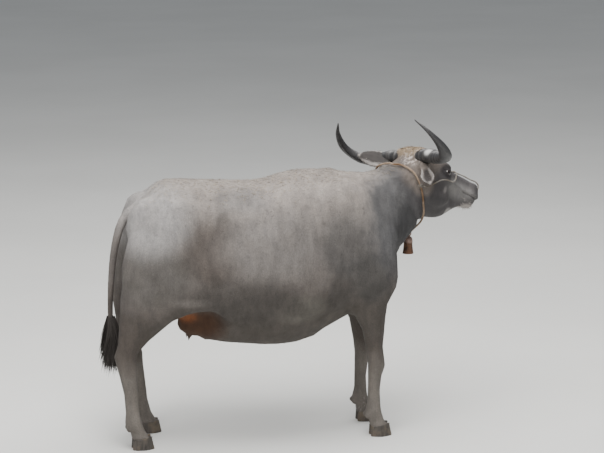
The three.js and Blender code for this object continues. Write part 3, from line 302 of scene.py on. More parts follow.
neck_cord_finish = rope_finish("neck_cord_fibre", (0.40, 0.30, 0.22), (0.20, 0.115, 0.06))
nose_rope_finish = rope_finish("nose_rope_fibre", (0.33, 0.305, 0.275), (0.18, 0.15, 0.12))
twisted_rope = rope_tree()
neck_route = smooth_route([on_body(*point) for point in NECK_CORD_ROUTE], closed=True)
neck_cord = grow("neck_rope", route_curve([(neck_route, True)]), twisted_rope, {
    "Radius": NECK_CORD_RADIUS, "Lay": NECK_CORD_LAY, "Material": neck_cord_finish,
})
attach(neck_cord, "root")
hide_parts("neck_cord")


def knot_route(centre, radius):
    """Two turns of rope wound over a knot, as a trefoil knot lies"""
    angle = np.linspace(0, math.tau, 120)
    wide = radius * (0.62 + 0.30 * np.cos(3 * angle))
    points = np.stack([
        wide * np.cos(2 * angle), wide * np.sin(2 * angle), 0.62 * radius * np.sin(3 * angle),
    ], axis=1)
    return points @ np.array(HEAD_TURN.to_matrix()).T + np.array(centre)


across = [on_head(x, -y, z) for x, y, z in BRIDGE_HALF] + [on_head(296, 0, -27)]
across += [on_head(x, y, z) for x, y, z in reversed(BRIDGE_HALF)]
cheeks = [on_body(*RIGHT_KNOT)] + [on_head(x, -y, z) for x, y, z in CHEEK_HALF]
cheeks += [on_head(294, 0, -27)] + [on_head(x, y, z) for x, y, z in reversed(CHEEK_HALF)]
cheeks += [on_body(*LEFT_KNOT)]
nose_routes = [(smooth_route(across), False), (smooth_route(cheeks), False)]
for knot in (RIGHT_KNOT, LEFT_KNOT):
    nose_routes.append((knot_route(on_body(*knot), KNOT_RADIUS), True))
nose_rope = grow("nose_rope_strands", route_curve(nose_routes), twisted_rope, {
    "Radius": NOSE_ROPE_RADIUS, "Lay": NOSE_ROPE_LAY, "Material": nose_rope_finish,
})
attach(nose_rope, "root")
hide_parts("nose_rope")

# Bell
# A small open cow bell of weathered metal with a raised band near its top; its upper part is painted
# paler as a highlight. Its ring hangs on the lowest point of the neck cord, and a round clapper hangs
# inside.
BELL_HEIGHT = 0.084
BELL_WALL = 0.003
BELL_SHOULDER = 0.017
BELL_MOUTH = 0.027
BELL_RING = 0.014
BELL_WIRE = 0.003
BELL_BAND = (-0.032, -0.022)
BAND_RISE = 0.0012
CLAPPER_RADIUS = 0.008
CLAPPER_HANG = 0.066
RING_STEPS = 40
WIRE_SIDES = 12
BELL_TOP = on_body(734, 100, 917)


def turned(outline, centre, segments=48):
    """Closed mesh of an outline of (radius, height) turned about the upright axis"""
    made = bmesh.new()
    rings = []
    for radius, height in outline:
        if radius < 1e-6:
            rings.append([made.verts.new((0, 0, height))])
            continue
        rings.append([
            made.verts.new((radius * math.cos(a), radius * math.sin(a), height))
            for a in np.linspace(0, math.tau, segments, endpoint=False)
        ])
    for lower, upper in zip(rings, rings[1:]):
        for side in range(segments):
            after = (side + 1) % segments
            corners = [lower[side % len(lower)], lower[after % len(lower)],
                       upper[after % len(upper)], upper[side % len(upper)]]
            made.faces.new(list(dict.fromkeys(corners)))
    bmesh.ops.recalc_face_normals(made, faces=made.faces)
    made.transform(Matrix.Translation(centre))
    return made


def bell_outline():
    shoulder = BELL_SHOULDER + 0.004
    outer = [(0, 0), (0.010, -0.0006), (BELL_SHOULDER - 0.002, -0.0025), (shoulder - 0.001, -0.009),
             (shoulder, -0.016)]
    for share in np.linspace(0.1, 1, 12):
        flare = share**2.2
        outer.append((shoulder + (BELL_MOUTH - shoulder) * flare, -0.016 - (BELL_HEIGHT - 0.016) * share))
    low, high = BELL_BAND
    band = [(radius + BAND_RISE * (low < height < high), height) for radius, height in outer]
    inner = [(max(radius - BELL_WALL, 0), min(height, -BELL_WALL)) for radius, height in reversed(outer)]
    inner[0] = (BELL_MOUTH - BELL_WALL, -BELL_HEIGHT)
    return band + inner


bell_mesh = turned(bell_outline(), BELL_TOP)
bell_parts = [
    turned([(0, -0.002), (0.0022, -0.002), (0.0022, -0.062), (0, -0.062)], BELL_TOP, 12),
    turned([(CLAPPER_RADIUS * math.sin(a), CLAPPER_RADIUS * math.cos(a) - CLAPPER_HANG)
            for a in np.linspace(0, math.pi, 9)], BELL_TOP, 20),
]
bell_data = bpy.data.meshes.new("bell")
for part in bell_parts:
    part.to_mesh(bell_data)
    bell_mesh.from_mesh(bell_data)
    part.free()
ring_angles = np.linspace(0, math.tau, RING_STEPS, endpoint=False)
wire_angles = np.linspace(0, math.tau, WIRE_SIDES, endpoint=False)
ring_verts = [[
    bell_mesh.verts.new(BELL_TOP + Vector((
        (BELL_RING + BELL_WIRE * math.cos(b)) * math.cos(a),
        BELL_WIRE * math.sin(b),
        BELL_RING + (BELL_RING + BELL_WIRE * math.cos(b)) * math.sin(a),
    ))) for b in wire_angles
] for a in ring_angles]
ring_faces = []
for a in range(RING_STEPS):
    for b in range(WIRE_SIDES):
        after, above = (a + 1) % RING_STEPS, (b + 1) % WIRE_SIDES
        ring_faces.append(bell_mesh.faces.new((
            ring_verts[a][b], ring_verts[after][b], ring_verts[after][above], ring_verts[a][above],
        )))
bmesh.ops.recalc_face_normals(bell_mesh, faces=ring_faces)
bell_mesh.to_mesh(bell_data)
bell_mesh.free()
bell = placed("cow_bell", bell_data)

bell_finish, tree, principled, place = shader("bell_metal", Specular_IOR_Level=0.4)
height = node(tree, "ShaderNodeSeparateXYZ", {0: place}).outputs["Z"]
rust = ramp(tree, noise(tree, place, 60, 5, 0.65), 0.4, 0.62)
# Painted highlight: the bell's upper part paler and pinkish, in patches
wear_and_highlight = maths(tree, "MULTIPLY", ramp(tree, height, BELL_TOP.z - 0.036, BELL_TOP.z - 0.02),
             ramp(tree, noise(tree, place, 35, 3), 0.3, 0.55))
metal = mixed(tree, rust, (0.085, 0.055, 0.04, 1), (0.17, 0.085, 0.05, 1))
tree.links.new(mixed(tree, wear_and_highlight, metal, (0.36, 0.25, 0.21, 1)), principled.inputs["Base Color"])
tree.links.new(ramp(tree, rust, 0, 1, 0.45, 0.85), principled.inputs["Roughness"])
tree.links.new(ramp(tree, rust, 0, 1, 0.7, 0.1), principled.inputs["Metallic"])
bump(tree, principled, noise(tree, place, 260, 4), 0.0008)
bell_data.materials.append(bell_finish)
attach(bell, "root")
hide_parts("bell")

# Skin
# One unbroken grey hide over trunk, neck, head, ears, legs, tail and udder. Its form is made
# from the flesh below it, smoothed, with lids, lips, nostrils and folds worked into the surface.
FLESH = ["torso", "neck", "head", "ear_left", "ear_right", "tail", "udder", "foreleg_left",
         "foreleg_right", "hindleg_left", "hindleg_right"]
HOOVES = [f"hoof_{end}_{hand}_{place}" for end in ("fore", "hind") for hand in ("left", "right")
          for place in ("outer", "inner")]
SKIN_GRAIN = 0.0036
EASE = 0.6
SMOOTHING_ROUNDS = 100
DEPTH_ROUNDS = 75
COAT_DEPTH = 0.002
EAR_COAT_DEPTH = 0.0005
SKIN_THINNING = 0.125
HOOF_TOP = 0.054
HOOF_SLOPE = 0.16
SKIN_OVER_HOOF = 0.004
FOOT_HEIGHT = 0.12
FEET = [on_body(532, 142, 0), on_body(532, -142, 0), on_body(-540, 146, 0), on_body(-620, -146, 0)]
EYE_CENTRE = (176, 89, -74)
EYE_RADIUS = 0.020
EYE_GAZE = (0.10, 0.995, 0.0)
HEAD_AXES = np.array(head_matrix)[:3, :3]
HEAD_END = 620


def merged_copy(names):
    joined = bmesh.new()
    for name in names:
        joined.from_mesh(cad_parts[name].data)
    bmesh.ops.remove_doubles(joined, verts=joined.verts, dist=1e-5)
    mesh = bpy.data.meshes.new("flesh")
    joined.to_mesh(mesh)
    joined.free()
    return mesh


def largest_part(mesh):
    """Deletes all but the largest connected part of a mesh"""
    shape = bmesh.new()
    shape.from_mesh(mesh)
    shape.verts.ensure_lookup_table()
    part = np.full(len(shape.verts), -1)
    sizes = []
    for seed in shape.verts:
        if part[seed.index] >= 0:
            continue
        reached = [seed]
        part[seed.index] = len(sizes)
        for vertex in reached:
            for edge in vertex.link_edges:
                other = edge.other_vert(vertex)
                if part[other.index] < 0:
                    part[other.index] = len(sizes)
                    reached.append(other)
        sizes.append(len(reached))
    main = int(np.argmax(sizes))
    extra = [vertex for vertex in shape.verts if part[vertex.index] != main]
    bmesh.ops.delete(shape, geom=extra, context="VERTS")
    shape.to_mesh(mesh)
    shape.free()


def with_modifier(mesh, kind, **settings):
    """The mesh after one modifier"""
    holder = linked("holder", mesh)
    modifier = holder.modifiers.new(kind.lower(), kind)
    for name, value in settings.items():
        setattr(modifier, name, value)
    seen = bpy.context.evaluated_depsgraph_get()
    result = bpy.data.meshes.new_from_object(holder.evaluated_get(seen))
    bpy.data.objects.remove(holder)
    return result


def points_of(mesh):
    found = np.empty(len(mesh.vertices) * 3)
    mesh.vertices.foreach_get("co", found)
    return found.reshape(-1, 3)


def move_points(mesh, points):
    mesh.vertices.foreach_set("co", np.ascontiguousarray(points).ravel())
    mesh.update()


def normals_of(mesh):
    found = np.empty(len(mesh.vertices) * 3, np.float32)
    mesh.vertex_normals.foreach_get("vector", found)
    return found.reshape(-1, 3).astype(float)


def one_side(points):
    """Points mirrored to the positive side of the middle plane"""
    return np.stack([points[:, 0], np.abs(points[:, 1]), points[:, 2]], axis=1)


def store(mesh, name, values, kind="FLOAT"):
    """Keeps values on a mesh's points, where a material or a tree reads them"""
    field = "vector" if kind == "FLOAT_VECTOR" else "value"
    mesh.attributes.new(name, kind, "POINT").data.foreach_set(field, np.asarray(values).ravel())


def spread_evenly(mesh, values, rounds, weight):
    """Values on points, averaged with their neighbours' for some rounds"""
    edges = np.empty(len(mesh.edges) * 2, np.int64)
    mesh.edges.foreach_get("vertices", edges)
    start, end = edges.reshape(-1, 2).T
    both = np.concatenate([start, end])
    other = np.concatenate([end, start])
    count = len(mesh.vertices)
    links = np.maximum(np.bincount(both, minlength=count), 1)
    values = values.reshape(count, -1).copy()
    weight = EASE * np.broadcast_to(weight, (count,))
    for _ in range(rounds):
        for column in range(values.shape[1]):
            near = np.bincount(both, values[other, column], count) / links
            values[:, column] += weight * (near - values[:, column])
    return values


def head_place(points):
    """Places in millimetres along, across and above the head"""
    turned_back = np.array(head_matrix.inverted())
    return (points @ turned_back[:3, :3].T + turned_back[:3, 3]) * 1000


def soft_step(value, low, high):
    t = np.clip((value - low) / (high - low), 0, 1)
    return t * t * (3 - 2 * t)


def ear_share(points):
    """1 on the blades of the ears, 0 elsewhere"""
    found = np.zeros(len(points))
    across = head_place(points)[:, 1]
    for name, hand in (("ear_left", 1), ("ear_right", -1)):
        low, high = (np.array(corner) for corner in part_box(name))
        away = np.maximum(low - points, points - high).max(axis=1)
        beside = soft_step(across * hand, 112, 132)
        found = np.maximum(found, soft_step(away, 0.006, 0.0) * beside)
    return found


def fleshy(points):
    """1 on the broad forms of trunk and legs, falling to a small share on head, ears and tail"""
    local = head_place(points)
    head = soft_step(local[:, 0], -120, -20) * soft_step(np.linalg.norm(local, axis=1), HEAD_END, 560)
    head *= soft_step(points[:, 0], 0.33, 0.40)
    tail = soft_step(-points[:, 0], 0.79, 0.85) * soft_step(np.abs(points[:, 1]), 0.10, 0.05)
    shank = soft_step(points[:, 2], 0.58, 0.42) * soft_step(np.abs(points[:, 1]), 0.06, 0.09)
    share = np.clip(1 - 0.9 * head - 0.85 * tail - 0.55 * shank, 0.08, 1)
    return share * (1 - 0.93 * ear_share(points))


solids = merged_copy(FLESH + HOOVES + ["eye_left", "eye_right"])
skin_mesh = with_modifier(solids, "REMESH", mode="VOXEL", voxel_size=SKIN_GRAIN)
largest_part(skin_mesh)
points = points_of(skin_mesh)
weight = fleshy(points)
blades = ear_share(points)
rough = bmesh.new()
rough.from_mesh(skin_mesh)
flesh_tree = BVHTree.FromBMesh(rough)
rough.free()
move_points(skin_mesh, spread_evenly(skin_mesh, points, SMOOTHING_ROUNDS, weight))
points = points_of(skin_mesh)
normals = normals_of(skin_mesh)
gap = np.empty(len(points))
for index, point in enumerate(points):
    hit, normal, _, distance = flesh_tree.find_nearest(point)
    gap[index] = distance if (Vector(point) - hit).dot(normal) < 0 else -distance
gap = spread_evenly(skin_mesh, gap, DEPTH_ROUNDS, weight)
points += normals * (gap - COAT_DEPTH + (COAT_DEPTH - EAR_COAT_DEPTH) * blades[:, None])
nearest_foot = np.argmin([np.hypot(points[:, 0] - foot.x, points[:, 1] - foot.y) for foot in FEET], axis=0)
foot_middle = np.array([foot.x for foot in FEET])[nearest_foot]
coronet = HOOF_TOP - SKIN_OVER_HOOF + HOOF_SLOPE * (points[:, 0] - foot_middle)
low = points[:, 2] < FOOT_HEIGHT
points[:, 2] = np.where(low, np.maximum(points[:, 2], coronet), points[:, 2])
move_points(skin_mesh, points)

# Creases of the right side, mirrored to the left: route in millimetres, depth, half width
CREASES = {
    "hip": ([(-330, 70, 1252), (-299, 112, 1230), (-239, 199, 1172), (-240, 250, 1080),
             (-250, 275, 980)], 6, 15),
    "flank": ([(-490, 245, 752), (-400, 266, 728), (-300, 290, 770), (-250, 300, 850)], 5, 14),
    "elbow": ([(330, 262, 900), (322, 255, 800), (306, 240, 720), (300, 215, 660)], 6, 15),
    "shoulder": ([(330, 160, 1210), (372, 235, 1110), (380, 255, 1000), (420, 245, 900)], 5, 22),
    "breast": ([(520, 60, 900), (540, 100, 850), (520, 150, 790)], 5, 14),
    "buttock": ([(-640, 110, 1010), (-655, 150, 900), (-640, 170, 790)], 5, 18),
}
NECK_START = (0.302, 0.004, 1.040)
NECK_AXIS = (0.792, 0.205, 0.575)
NECK_FOLD_SPACING = 0.047
NECK_FOLD_DEPTH = 0.0042


def crease_depth(points):
    """Metres to press in along each crease, and between the soft folds of the neck"""
    half = one_side(points)
    press = np.zeros(len(points))
    for route, depth, width in CREASES.values():
        stops = np.array([on_body(*stop) for stop in route])
        nearest = np.full(len(points), np.inf)
        for start, end in zip(stops, stops[1:]):
            run = end - start
            share = np.clip((half - start) @ run / (run @ run), 0, 1)
            nearest = np.minimum(nearest, np.linalg.norm(half - start - share[:, None] * run, axis=1))
        press += depth / 1000 * np.exp(-((nearest * 1000 / width) ** 2))
    along = (points - NECK_START) @ NECK_AXIS
    wander = 0.9 * np.sin(points[:, 2] * 11) + 0.7 * np.sin(points[:, 2] * 23 + points[:, 0] * 17)
    wave = 0.5 + 0.5 * np.sin(along / NECK_FOLD_SPACING * math.tau + wander)
    neck = soft_step(along, -0.02, 0.06) * soft_step(along, 0.31, 0.25)
    neck *= soft_step(points[:, 2], 0.74, 0.84) * soft_step(points[:, 2], 1.25, 1.12)
    neck *= soft_step(points[:, 0], 0.24, 0.32)
    uneven = 0.65 + 0.35 * np.sin(points[:, 2] * 7 + along * 31)
    return press + NECK_FOLD_DEPTH * neck * uneven * wave**1.6


points -= normals_of(skin_mesh) * crease_depth(points)[:, None]
move_points(skin_mesh, points)

# The broad forms of the body need fewer faces than head, ears and tail
body_share = np.round(soft_step(fleshy(points), 0.25, 0.6), 1)
holder = linked("holder", skin_mesh)
thinned = holder.vertex_groups.new(name="body")
for level in np.unique(body_share):
    chosen = np.flatnonzero(body_share == level)
    thinned.add(chosen.tolist(), float(0.04 + 0.96 * level), "REPLACE")
modifier = holder.modifiers.new("thin", "DECIMATE")
modifier.ratio = SKIN_THINNING
modifier.vertex_group = "body"
modifier.vertex_group_factor = 1.0
seen = bpy.context.evaluated_depsgraph_get()
skin_mesh = bpy.data.meshes.new_from_object(holder.evaluated_get(seen))
bpy.data.objects.remove(holder)


def refine(mesh, chooser):
    """Splits the edges of the faces whose points the chooser picks, then eases the new points"""
    picked = chooser(head_place(points_of(mesh)))
    shape = bmesh.new()
    shape.from_mesh(mesh)
    edges = [edge for edge in shape.edges if picked[edge.verts[0].index] and picked[edge.verts[1].index]]
    bmesh.ops.subdivide_edges(shape, edges=edges, cuts=1, use_grid_fill=True)
    bmesh.ops.triangulate(shape, faces=[face for face in shape.faces if len(face.verts) > 3])
    shape.to_mesh(mesh)
    shape.free()
    places = points_of(mesh)
    inner = chooser(head_place(places))
    move_points(mesh, spread_evenly(mesh, places, 2, 0.8 * inner))


def muzzle(local):
    return (local[:, 0] > 318) & (local[:, 0] < 520) & (np.abs(local[:, 1]) < 110) & (local[:, 2] > -200)


def round_eyes(reach):
    return lambda local: np.linalg.norm(one_side(local) - EYE_CENTRE, axis=1) < reach


for chooser in (muzzle, round_eyes(58), round_eyes(36)):
    refine(skin_mesh, chooser)

# Lids, nostrils and lips are pressed into the finer surface. Sizes are in millimetres.
LID_TILT = 0.22
LID_HALF_LENGTH = 21
UPPER_LID = 12
LOWER_LID = 9.5
LID_EDGE = 21.6
LID_THICKNESS = 1.5
SOCKET_DEPTH = 15.5
MOUTH_FRONT = 466
MOUTH_HEIGHT = -128
MOUTH_RISE = 0.1
MOUTH_DEPTH = 4.5
NOSTRIL = (447, 47, -71)
NOSTRIL_SIZE = (17, 10, 14)
NOSTRIL_DEPTH = 9
HEAD_MIDDLE = (250, 0, -90)
HEAD_REACH = 330


def ridge_at(value, place, width):
    """A smooth bump, 1 high where the value is at the place"""
    return np.exp(-(((value - place) / width) ** 2))


def shape_lids(local, hand):
    """Lids with their folds round the slit of one eye, and the socket pressed in behind the ball"""
    folded = local * [1, hand, 1]
    away = folded - EYE_CENTRE
    reach = np.linalg.norm(away, axis=1)
    along = np.array([math.cos(LID_TILT), 0, -math.sin(LID_TILT)])
    above = np.cross(along, EYE_GAZE)
    above = above if above[2] > 0 else -above
    ahead = away @ EYE_GAZE
    ball = EYE_RADIUS * 1000
    u = ball * np.arctan2(away @ along, ahead)
    v = ball * np.arctan2(away @ above, ahead)
    arch = np.clip(1 - (u / LID_HALF_LENGTH) ** 2, 0, 1) ** 0.75
    height = np.where(v > 0, UPPER_LID, LOWER_LID) * arch
    past_corner = np.maximum(np.abs(u) - LID_HALF_LENGTH, 0)
    margin = np.hypot(np.abs(v) - height, past_corner) * np.where(np.abs(v) > height, 1, -1)
    inside = soft_step(-margin, -0.4, 0.5)
    lid = LID_EDGE + LID_THICKNESS * soft_step(margin, 0, 3)
    outer = lid + (reach - lid) * soft_step(margin, 2.5, 13)
    crease = 1.5 * ridge_at(margin, 7, 1.3) * (v > 0) + ridge_at(margin, 5, 1.1) * (v < 0)
    crease += 0.8 * ridge_at(margin, 10.5, 1.4)
    radial = 0.5 * np.sin(np.arctan2(v, u) * 17) * soft_step(margin, 2, 6) * soft_step(margin, 22, 12)
    target = (outer - crease + radial) * (1 - inside) + SOCKET_DEPTH * inside
    near = (ahead > 0) & (reach < 45) & (reach > 12)
    scaled = EYE_CENTRE + away * (target / np.maximum(reach, 1e-6))[:, None]
    return np.where(near[:, None], scaled, folded) * [1, hand, 1]


def carve_muzzle(local):
    """Depth in millimetres to press in, or out where negative, on nostrils, lips and mouth"""
    x, y, z = local[:, 0], np.abs(local[:, 1]), local[:, 2]
    off = z - MOUTH_HEIGHT - (MOUTH_FRONT - x) * MOUTH_RISE
    lips = MOUTH_DEPTH * ridge_at(off, 0, 2) - 1.6 * ridge_at(off, 8, 5) - 1.2 * ridge_at(off, -8, 5)
    press = soft_step(x, 322, 345) * lips
    wing = np.linalg.norm((one_side(local) - NOSTRIL) / NOSTRIL_SIZE, axis=1)
    press += NOSTRIL_DEPTH * soft_step(wing, 1.0, 0.35) - 1.8 * ridge_at(wing, 1.25, 0.22)
    groove = ridge_at(y, 0, 3) * soft_step(x, 452, 462) * soft_step(z, -126, -118)
    press += 2.2 * groove * soft_step(z, -70, -80)
    cells = np.sin(x * 0.75 + 3 * np.sin(z * 0.11)) * np.sin(y * 0.8 + 2 * np.sin(x * 0.13))
    cells *= np.sin(z * 0.7)
    bare = soft_step(x, 425, 445) * soft_step(z, -128, -120)
    press += 0.45 * bare * cells
    return press


points = points_of(skin_mesh)
local = head_place(points)
normals = normals_of(skin_mesh)
near_head = np.linalg.norm(local - HEAD_MIDDLE, axis=1) < HEAD_REACH
press = np.where(near_head, carve_muzzle(local), 0)
points -= normals * (press / 1000)[:, None]
local = head_place(points)
for hand in (1, -1):
    local = shape_lids(local, hand)
with_lids = (local / 1000) @ HEAD_AXES.T + np.array(head_matrix)[:3, 3]
points = np.where(near_head[:, None], with_lids, points)
move_points(skin_mesh, points)

# Each ear on the head: its axis, its opening's direction, its length and half its greatest width
EARS = {
    1: ((-116, 150, 38), (0.75, 0.30, -0.5), 205, 60),
    -1: ((-34, -128, -139), (-0.7, -0.35, 0.4), 188, 34),
}
EAR_ROOT = (8, 100, -92)
EAR_WIDTHS = ([0, 0.12, 0.28, 0.5, 0.75, 0.92, 1], [0.5, 0.5, 0.7, 1, 0.76, 0.4, 0.12])
for hand, (axis, opening, length, half) in EARS.items():
    axis = np.array(axis) / np.linalg.norm(axis)
    opening = np.array(opening) - np.dot(opening, axis) * axis
    EARS[hand] = (axis, opening / np.linalg.norm(opening), length, half)


def ear_masks(points, outward):
    """Shares of each point on the rims of the ears, and in the hollows of their cups, where shade is
    painted
    """
    local = head_place(points)
    outward = outward @ HEAD_AXES
    rim, ear_cup_shade = np.zeros(len(points)), np.zeros(len(points))
    for hand, (axis, opening, length, half) in EARS.items():
        away = local - np.array(EAR_ROOT) * [1, hand, 1]
        along = away @ axis / length
        across = np.abs(away @ np.cross(axis, opening)) / (half * np.interp(along, *EAR_WIDTHS))
        on_ear = soft_step(along, 0.10, 0.22) * (np.linalg.norm(away, axis=1) < 1.15 * length)
        on_ear *= (np.abs(away @ opening) < 50) * (across < 1.6)
        edge = np.maximum(soft_step(across, 0.58, 0.85), soft_step(along, 0.84, 0.94))
        cup = soft_step(across, 0.62, 0.38) * soft_step(along, 0.86, 0.74)
        rim = np.maximum(rim, on_ear * edge)
        ear_cup_shade = np.maximum(ear_cup_shade, on_ear * cup * soft_step(outward @ opening, 0.15, 0.5))
    return rim, ear_cup_shade


rim, ear_cup_shade = ear_masks(points, normals_of(skin_mesh))
store(skin_mesh, "rim", rim)
store(skin_mesh, "ear_cup_shade", ear_cup_shade)
skin_mesh.name = "skin"
skin = placed("skin", skin_mesh)
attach(skin, "root")
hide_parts(*FLESH)

# Hide colours and relief
# Grey, nearly bare hide: pale and warm along the back, partly as painted light from above, blue-grey on
# the neck, brown-black low on the belly, partly as painted shade, dark on the face, rust-brown bare skin in
# the groin, tan hair and dried mud on the poll. Painted shade also lies in the hip creases, under the
# belly, at and behind the elbows, round the eyes, in the ear cups and in the wrinkle furrows, with a
# painted highlight on each cheekbone.

# Each row has a place's centre and radii in metres, its softness, its colour and how much of that
# is laid on. Places are mirrored across the middle of the body or of the head.
BODY_MARKINGS = {
    # Painted shade in the crease behind the hook bone
    "hip crease painted shade": ((-0.420, 0.25, 1.07), (0.026, 0.12, 0.12), 1.1, (0.095, 0.088, 0.084), 0.7),
    "brown flank": ((-0.48, 0.27, 0.95), (0.17, 0.15, 0.15), 0.8, (0.080, 0.066, 0.058), 0.75),
    "thigh": ((-0.74, 0.22, 0.84), (0.18, 0.2, 0.15), 0.8, (0.094, 0.088, 0.082), 0.7),
    # Painted shade under the belly
    "low belly painted shade": ((-0.10, 0.16, 0.58), (0.60, 0.38, 0.15), 0.7, (0.070, 0.062, 0.055), 0.85),
    "belly light": ((-0.06, 0.295, 0.665), (0.13, 0.12, 0.07), 0.8, (0.125, 0.118, 0.104), 0.6),
    "belly side": ((-0.31, 0.29, 0.71), (0.24, 0.16, 0.12), 0.8, (0.056, 0.050, 0.046), 0.8),
    # Painted shade between the foreleg and the belly
    "behind elbow painted shade": ((0.150, 0.25, 0.74), (0.07, 0.1, 0.15), 0.7, (0.060, 0.054, 0.050), 0.8),
    "shoulder": ((0.17, 0.25, 0.96), (0.13, 0.13, 0.15), 0.8, (0.085, 0.083, 0.083), 0.6),
    # Painted shade in the fold of the elbow
    "elbow": ((0.30, 0.24, 0.80), (0.10, 0.13, 0.13), 0.7, (0.054, 0.052, 0.050), 0.8),
    "rump": ((-0.74, 0.15, 1.10), (0.18, 0.20, 0.18), 0.8, (0.330, 0.322, 0.322), 0.8),
    "side": ((-0.20, 0.31, 0.99), (0.24, 0.14, 0.17), 0.8, (0.185, 0.172, 0.165), 0.6),
    "neck": ((0.46, 0.10, 1.04), (0.20, 0.26, 0.26), 0.6, (0.086, 0.087, 0.092), 0.9),
    "throat": ((0.515, 0.04, 0.97), (0.075, 0.16, 0.16), 0.7, (0.040, 0.040, 0.042), 0.8),
    "brisket": ((0.40, 0.0, 0.82), (0.10, 0.2, 0.16), 0.7, (0.070, 0.066, 0.066), 0.7),
    "groin": ((-0.500, 0.03, 0.575), (0.15, 0.17, 0.085), 0.9, (0.058, 0.025, 0.011), 0.90),
    "loin": ((-0.310, 0.20, 1.185), (0.12, 0.12, 0.055), 1.1, (0.165, 0.160, 0.160), 0.6),
    "bare groin": ((-0.58, 0.10, 0.612), (0.055, 0.10, 0.032), 1.2, (0.210, 0.066, 0.018), 0.65),
    "flank fold": ((-0.565, 0.25, 0.712), (0.070, 0.07, 0.018), 1.6, (0.20, 0.185, 0.172), 0.3),
}
HEAD_MARKINGS = {
    "face": ((0.24, 0.0, -0.12), (0.33, 0.17, 0.22), 0.35, (0.068, 0.064, 0.067), 0.95),
    "forehead": ((0.06, 0.0, -0.04), (0.13, 0.11, 0.08), 0.6, (0.170, 0.140, 0.118), 0.8),
    "temple": ((0.02, 0.06, -0.12), (0.09, 0.07, 0.09), 0.7, (0.190, 0.160, 0.140), 0.75),
    "poll": ((-0.015, 0.0, -0.005), (0.085, 0.085, 0.055), 0.55, (0.34, 0.265, 0.190), 0.9),
    "below ear": ((0.06, 0.085, -0.185), (0.045, 0.04, 0.05), 0.8, (0.22, 0.19, 0.17), 0.7),
    "nose side": ((0.300, 0.07, -0.120), (0.115, 0.05, 0.050), 0.9, (0.205, 0.200, 0.196), 0.7),
    "jaw shade": ((0.185, 0.08, -0.235), (0.075, 0.06, 0.045), 0.8, (0.048, 0.046, 0.047), 0.8),
    "left ear": ((-0.055, 0.185, -0.070), (0.085, 0.085, 0.055), 0.5, (0.038, 0.034, 0.033), 0.95),
    # Painted shade round the eye, under the brow
    "eye": ((0.176, 0.098, -0.072), (0.046, 0.04, 0.032), 0.6, (0.032, 0.029, 0.031), 0.85),
    # A painted highlight on the cheekbone, below the eye
    "cheekbone painted highlight": ((0.186, 0.098, -0.157), (0.010, 0.03, 0.015), 1.5, (0.34, 0.32, 0.31), 0.5),
    "muzzle": ((0.455, 0.0, -0.080), (0.060, 0.08, 0.052), 0.5, (0.026, 0.024, 0.027), 0.95),
    "chin": ((0.430, 0.0, -0.172), (0.055, 0.05, 0.030), 0.6, (0.42, 0.39, 0.37), 0.85),
    "lip rim": ((0.470, 0.0, -0.134), (0.034, 0.06, 0.012), 0.6, (0.46, 0.43, 0.41), 0.8),
    "jaw patch": ((0.300, 0.03, -0.235), (0.030, 0.04, 0.022), 0.7, (0.38, 0.37, 0.36), 0.7),
}
# Tones by height: the pale back is partly painted light from above, the dark belly partly painted shade
LIT_BACK_COLOUR = (0.262, 0.236, 0.218, 1)
SIDE_COLOUR = (0.148, 0.133, 0.125, 1)
SHADED_BELLY_COLOUR = (0.072, 0.061, 0.054, 1)
SHANK_COLOUR = (0.170, 0.155, 0.140, 1)
MUD_COLOUR = (0.52, 0.47, 0.44, 1)


def folded(tree, place):
    """The place mirrored to the positive side of the middle plane"""
    parts = node(tree, "ShaderNodeSeparateXYZ", {0: place}).outputs
    return node(tree, "ShaderNodeCombineXYZ", {
        "X": parts["X"], "Y": maths(tree, "ABSOLUTE", parts["Y"]), "Z": parts["Z"],
    }).outputs[0]


def patch(tree, place, centre, radii, soft, wobble):
    """1 inside a soft-edged ellipsoid with an uneven outline, 0 outside"""
    away = vector_maths(tree, "DIVIDE", vector_maths(tree, "SUBTRACT", place, centre), radii)
    reach = maths(tree, "ADD", vector_maths(tree, "LENGTH", away), wobble)
    return ramp(tree, reach, 1.0 + soft / 2, 1.0 - soft / 2)


def head_local(tree, place):
    return node(tree, "ShaderNodeMapping", {
        "Vector": place, "Location": CROWN - FRAME_CENTRE, "Rotation": HEAD_TURN,
    }, vector_type="TEXTURE").outputs[0]


def shader_group(name, **outputs):
    """A shared group that takes a place and gives the named outputs"""
    tree = bpy.data.node_groups.new(name, "ShaderNodeTree")
    tree.interface.new_socket("Place", in_out="INPUT", socket_type="NodeSocketVector")
    for label, kind in outputs.items():
        tree.interface.new_socket(label, in_out="OUTPUT", socket_type=kind)
    return tree, node(tree, "NodeGroupInput").outputs["Place"]


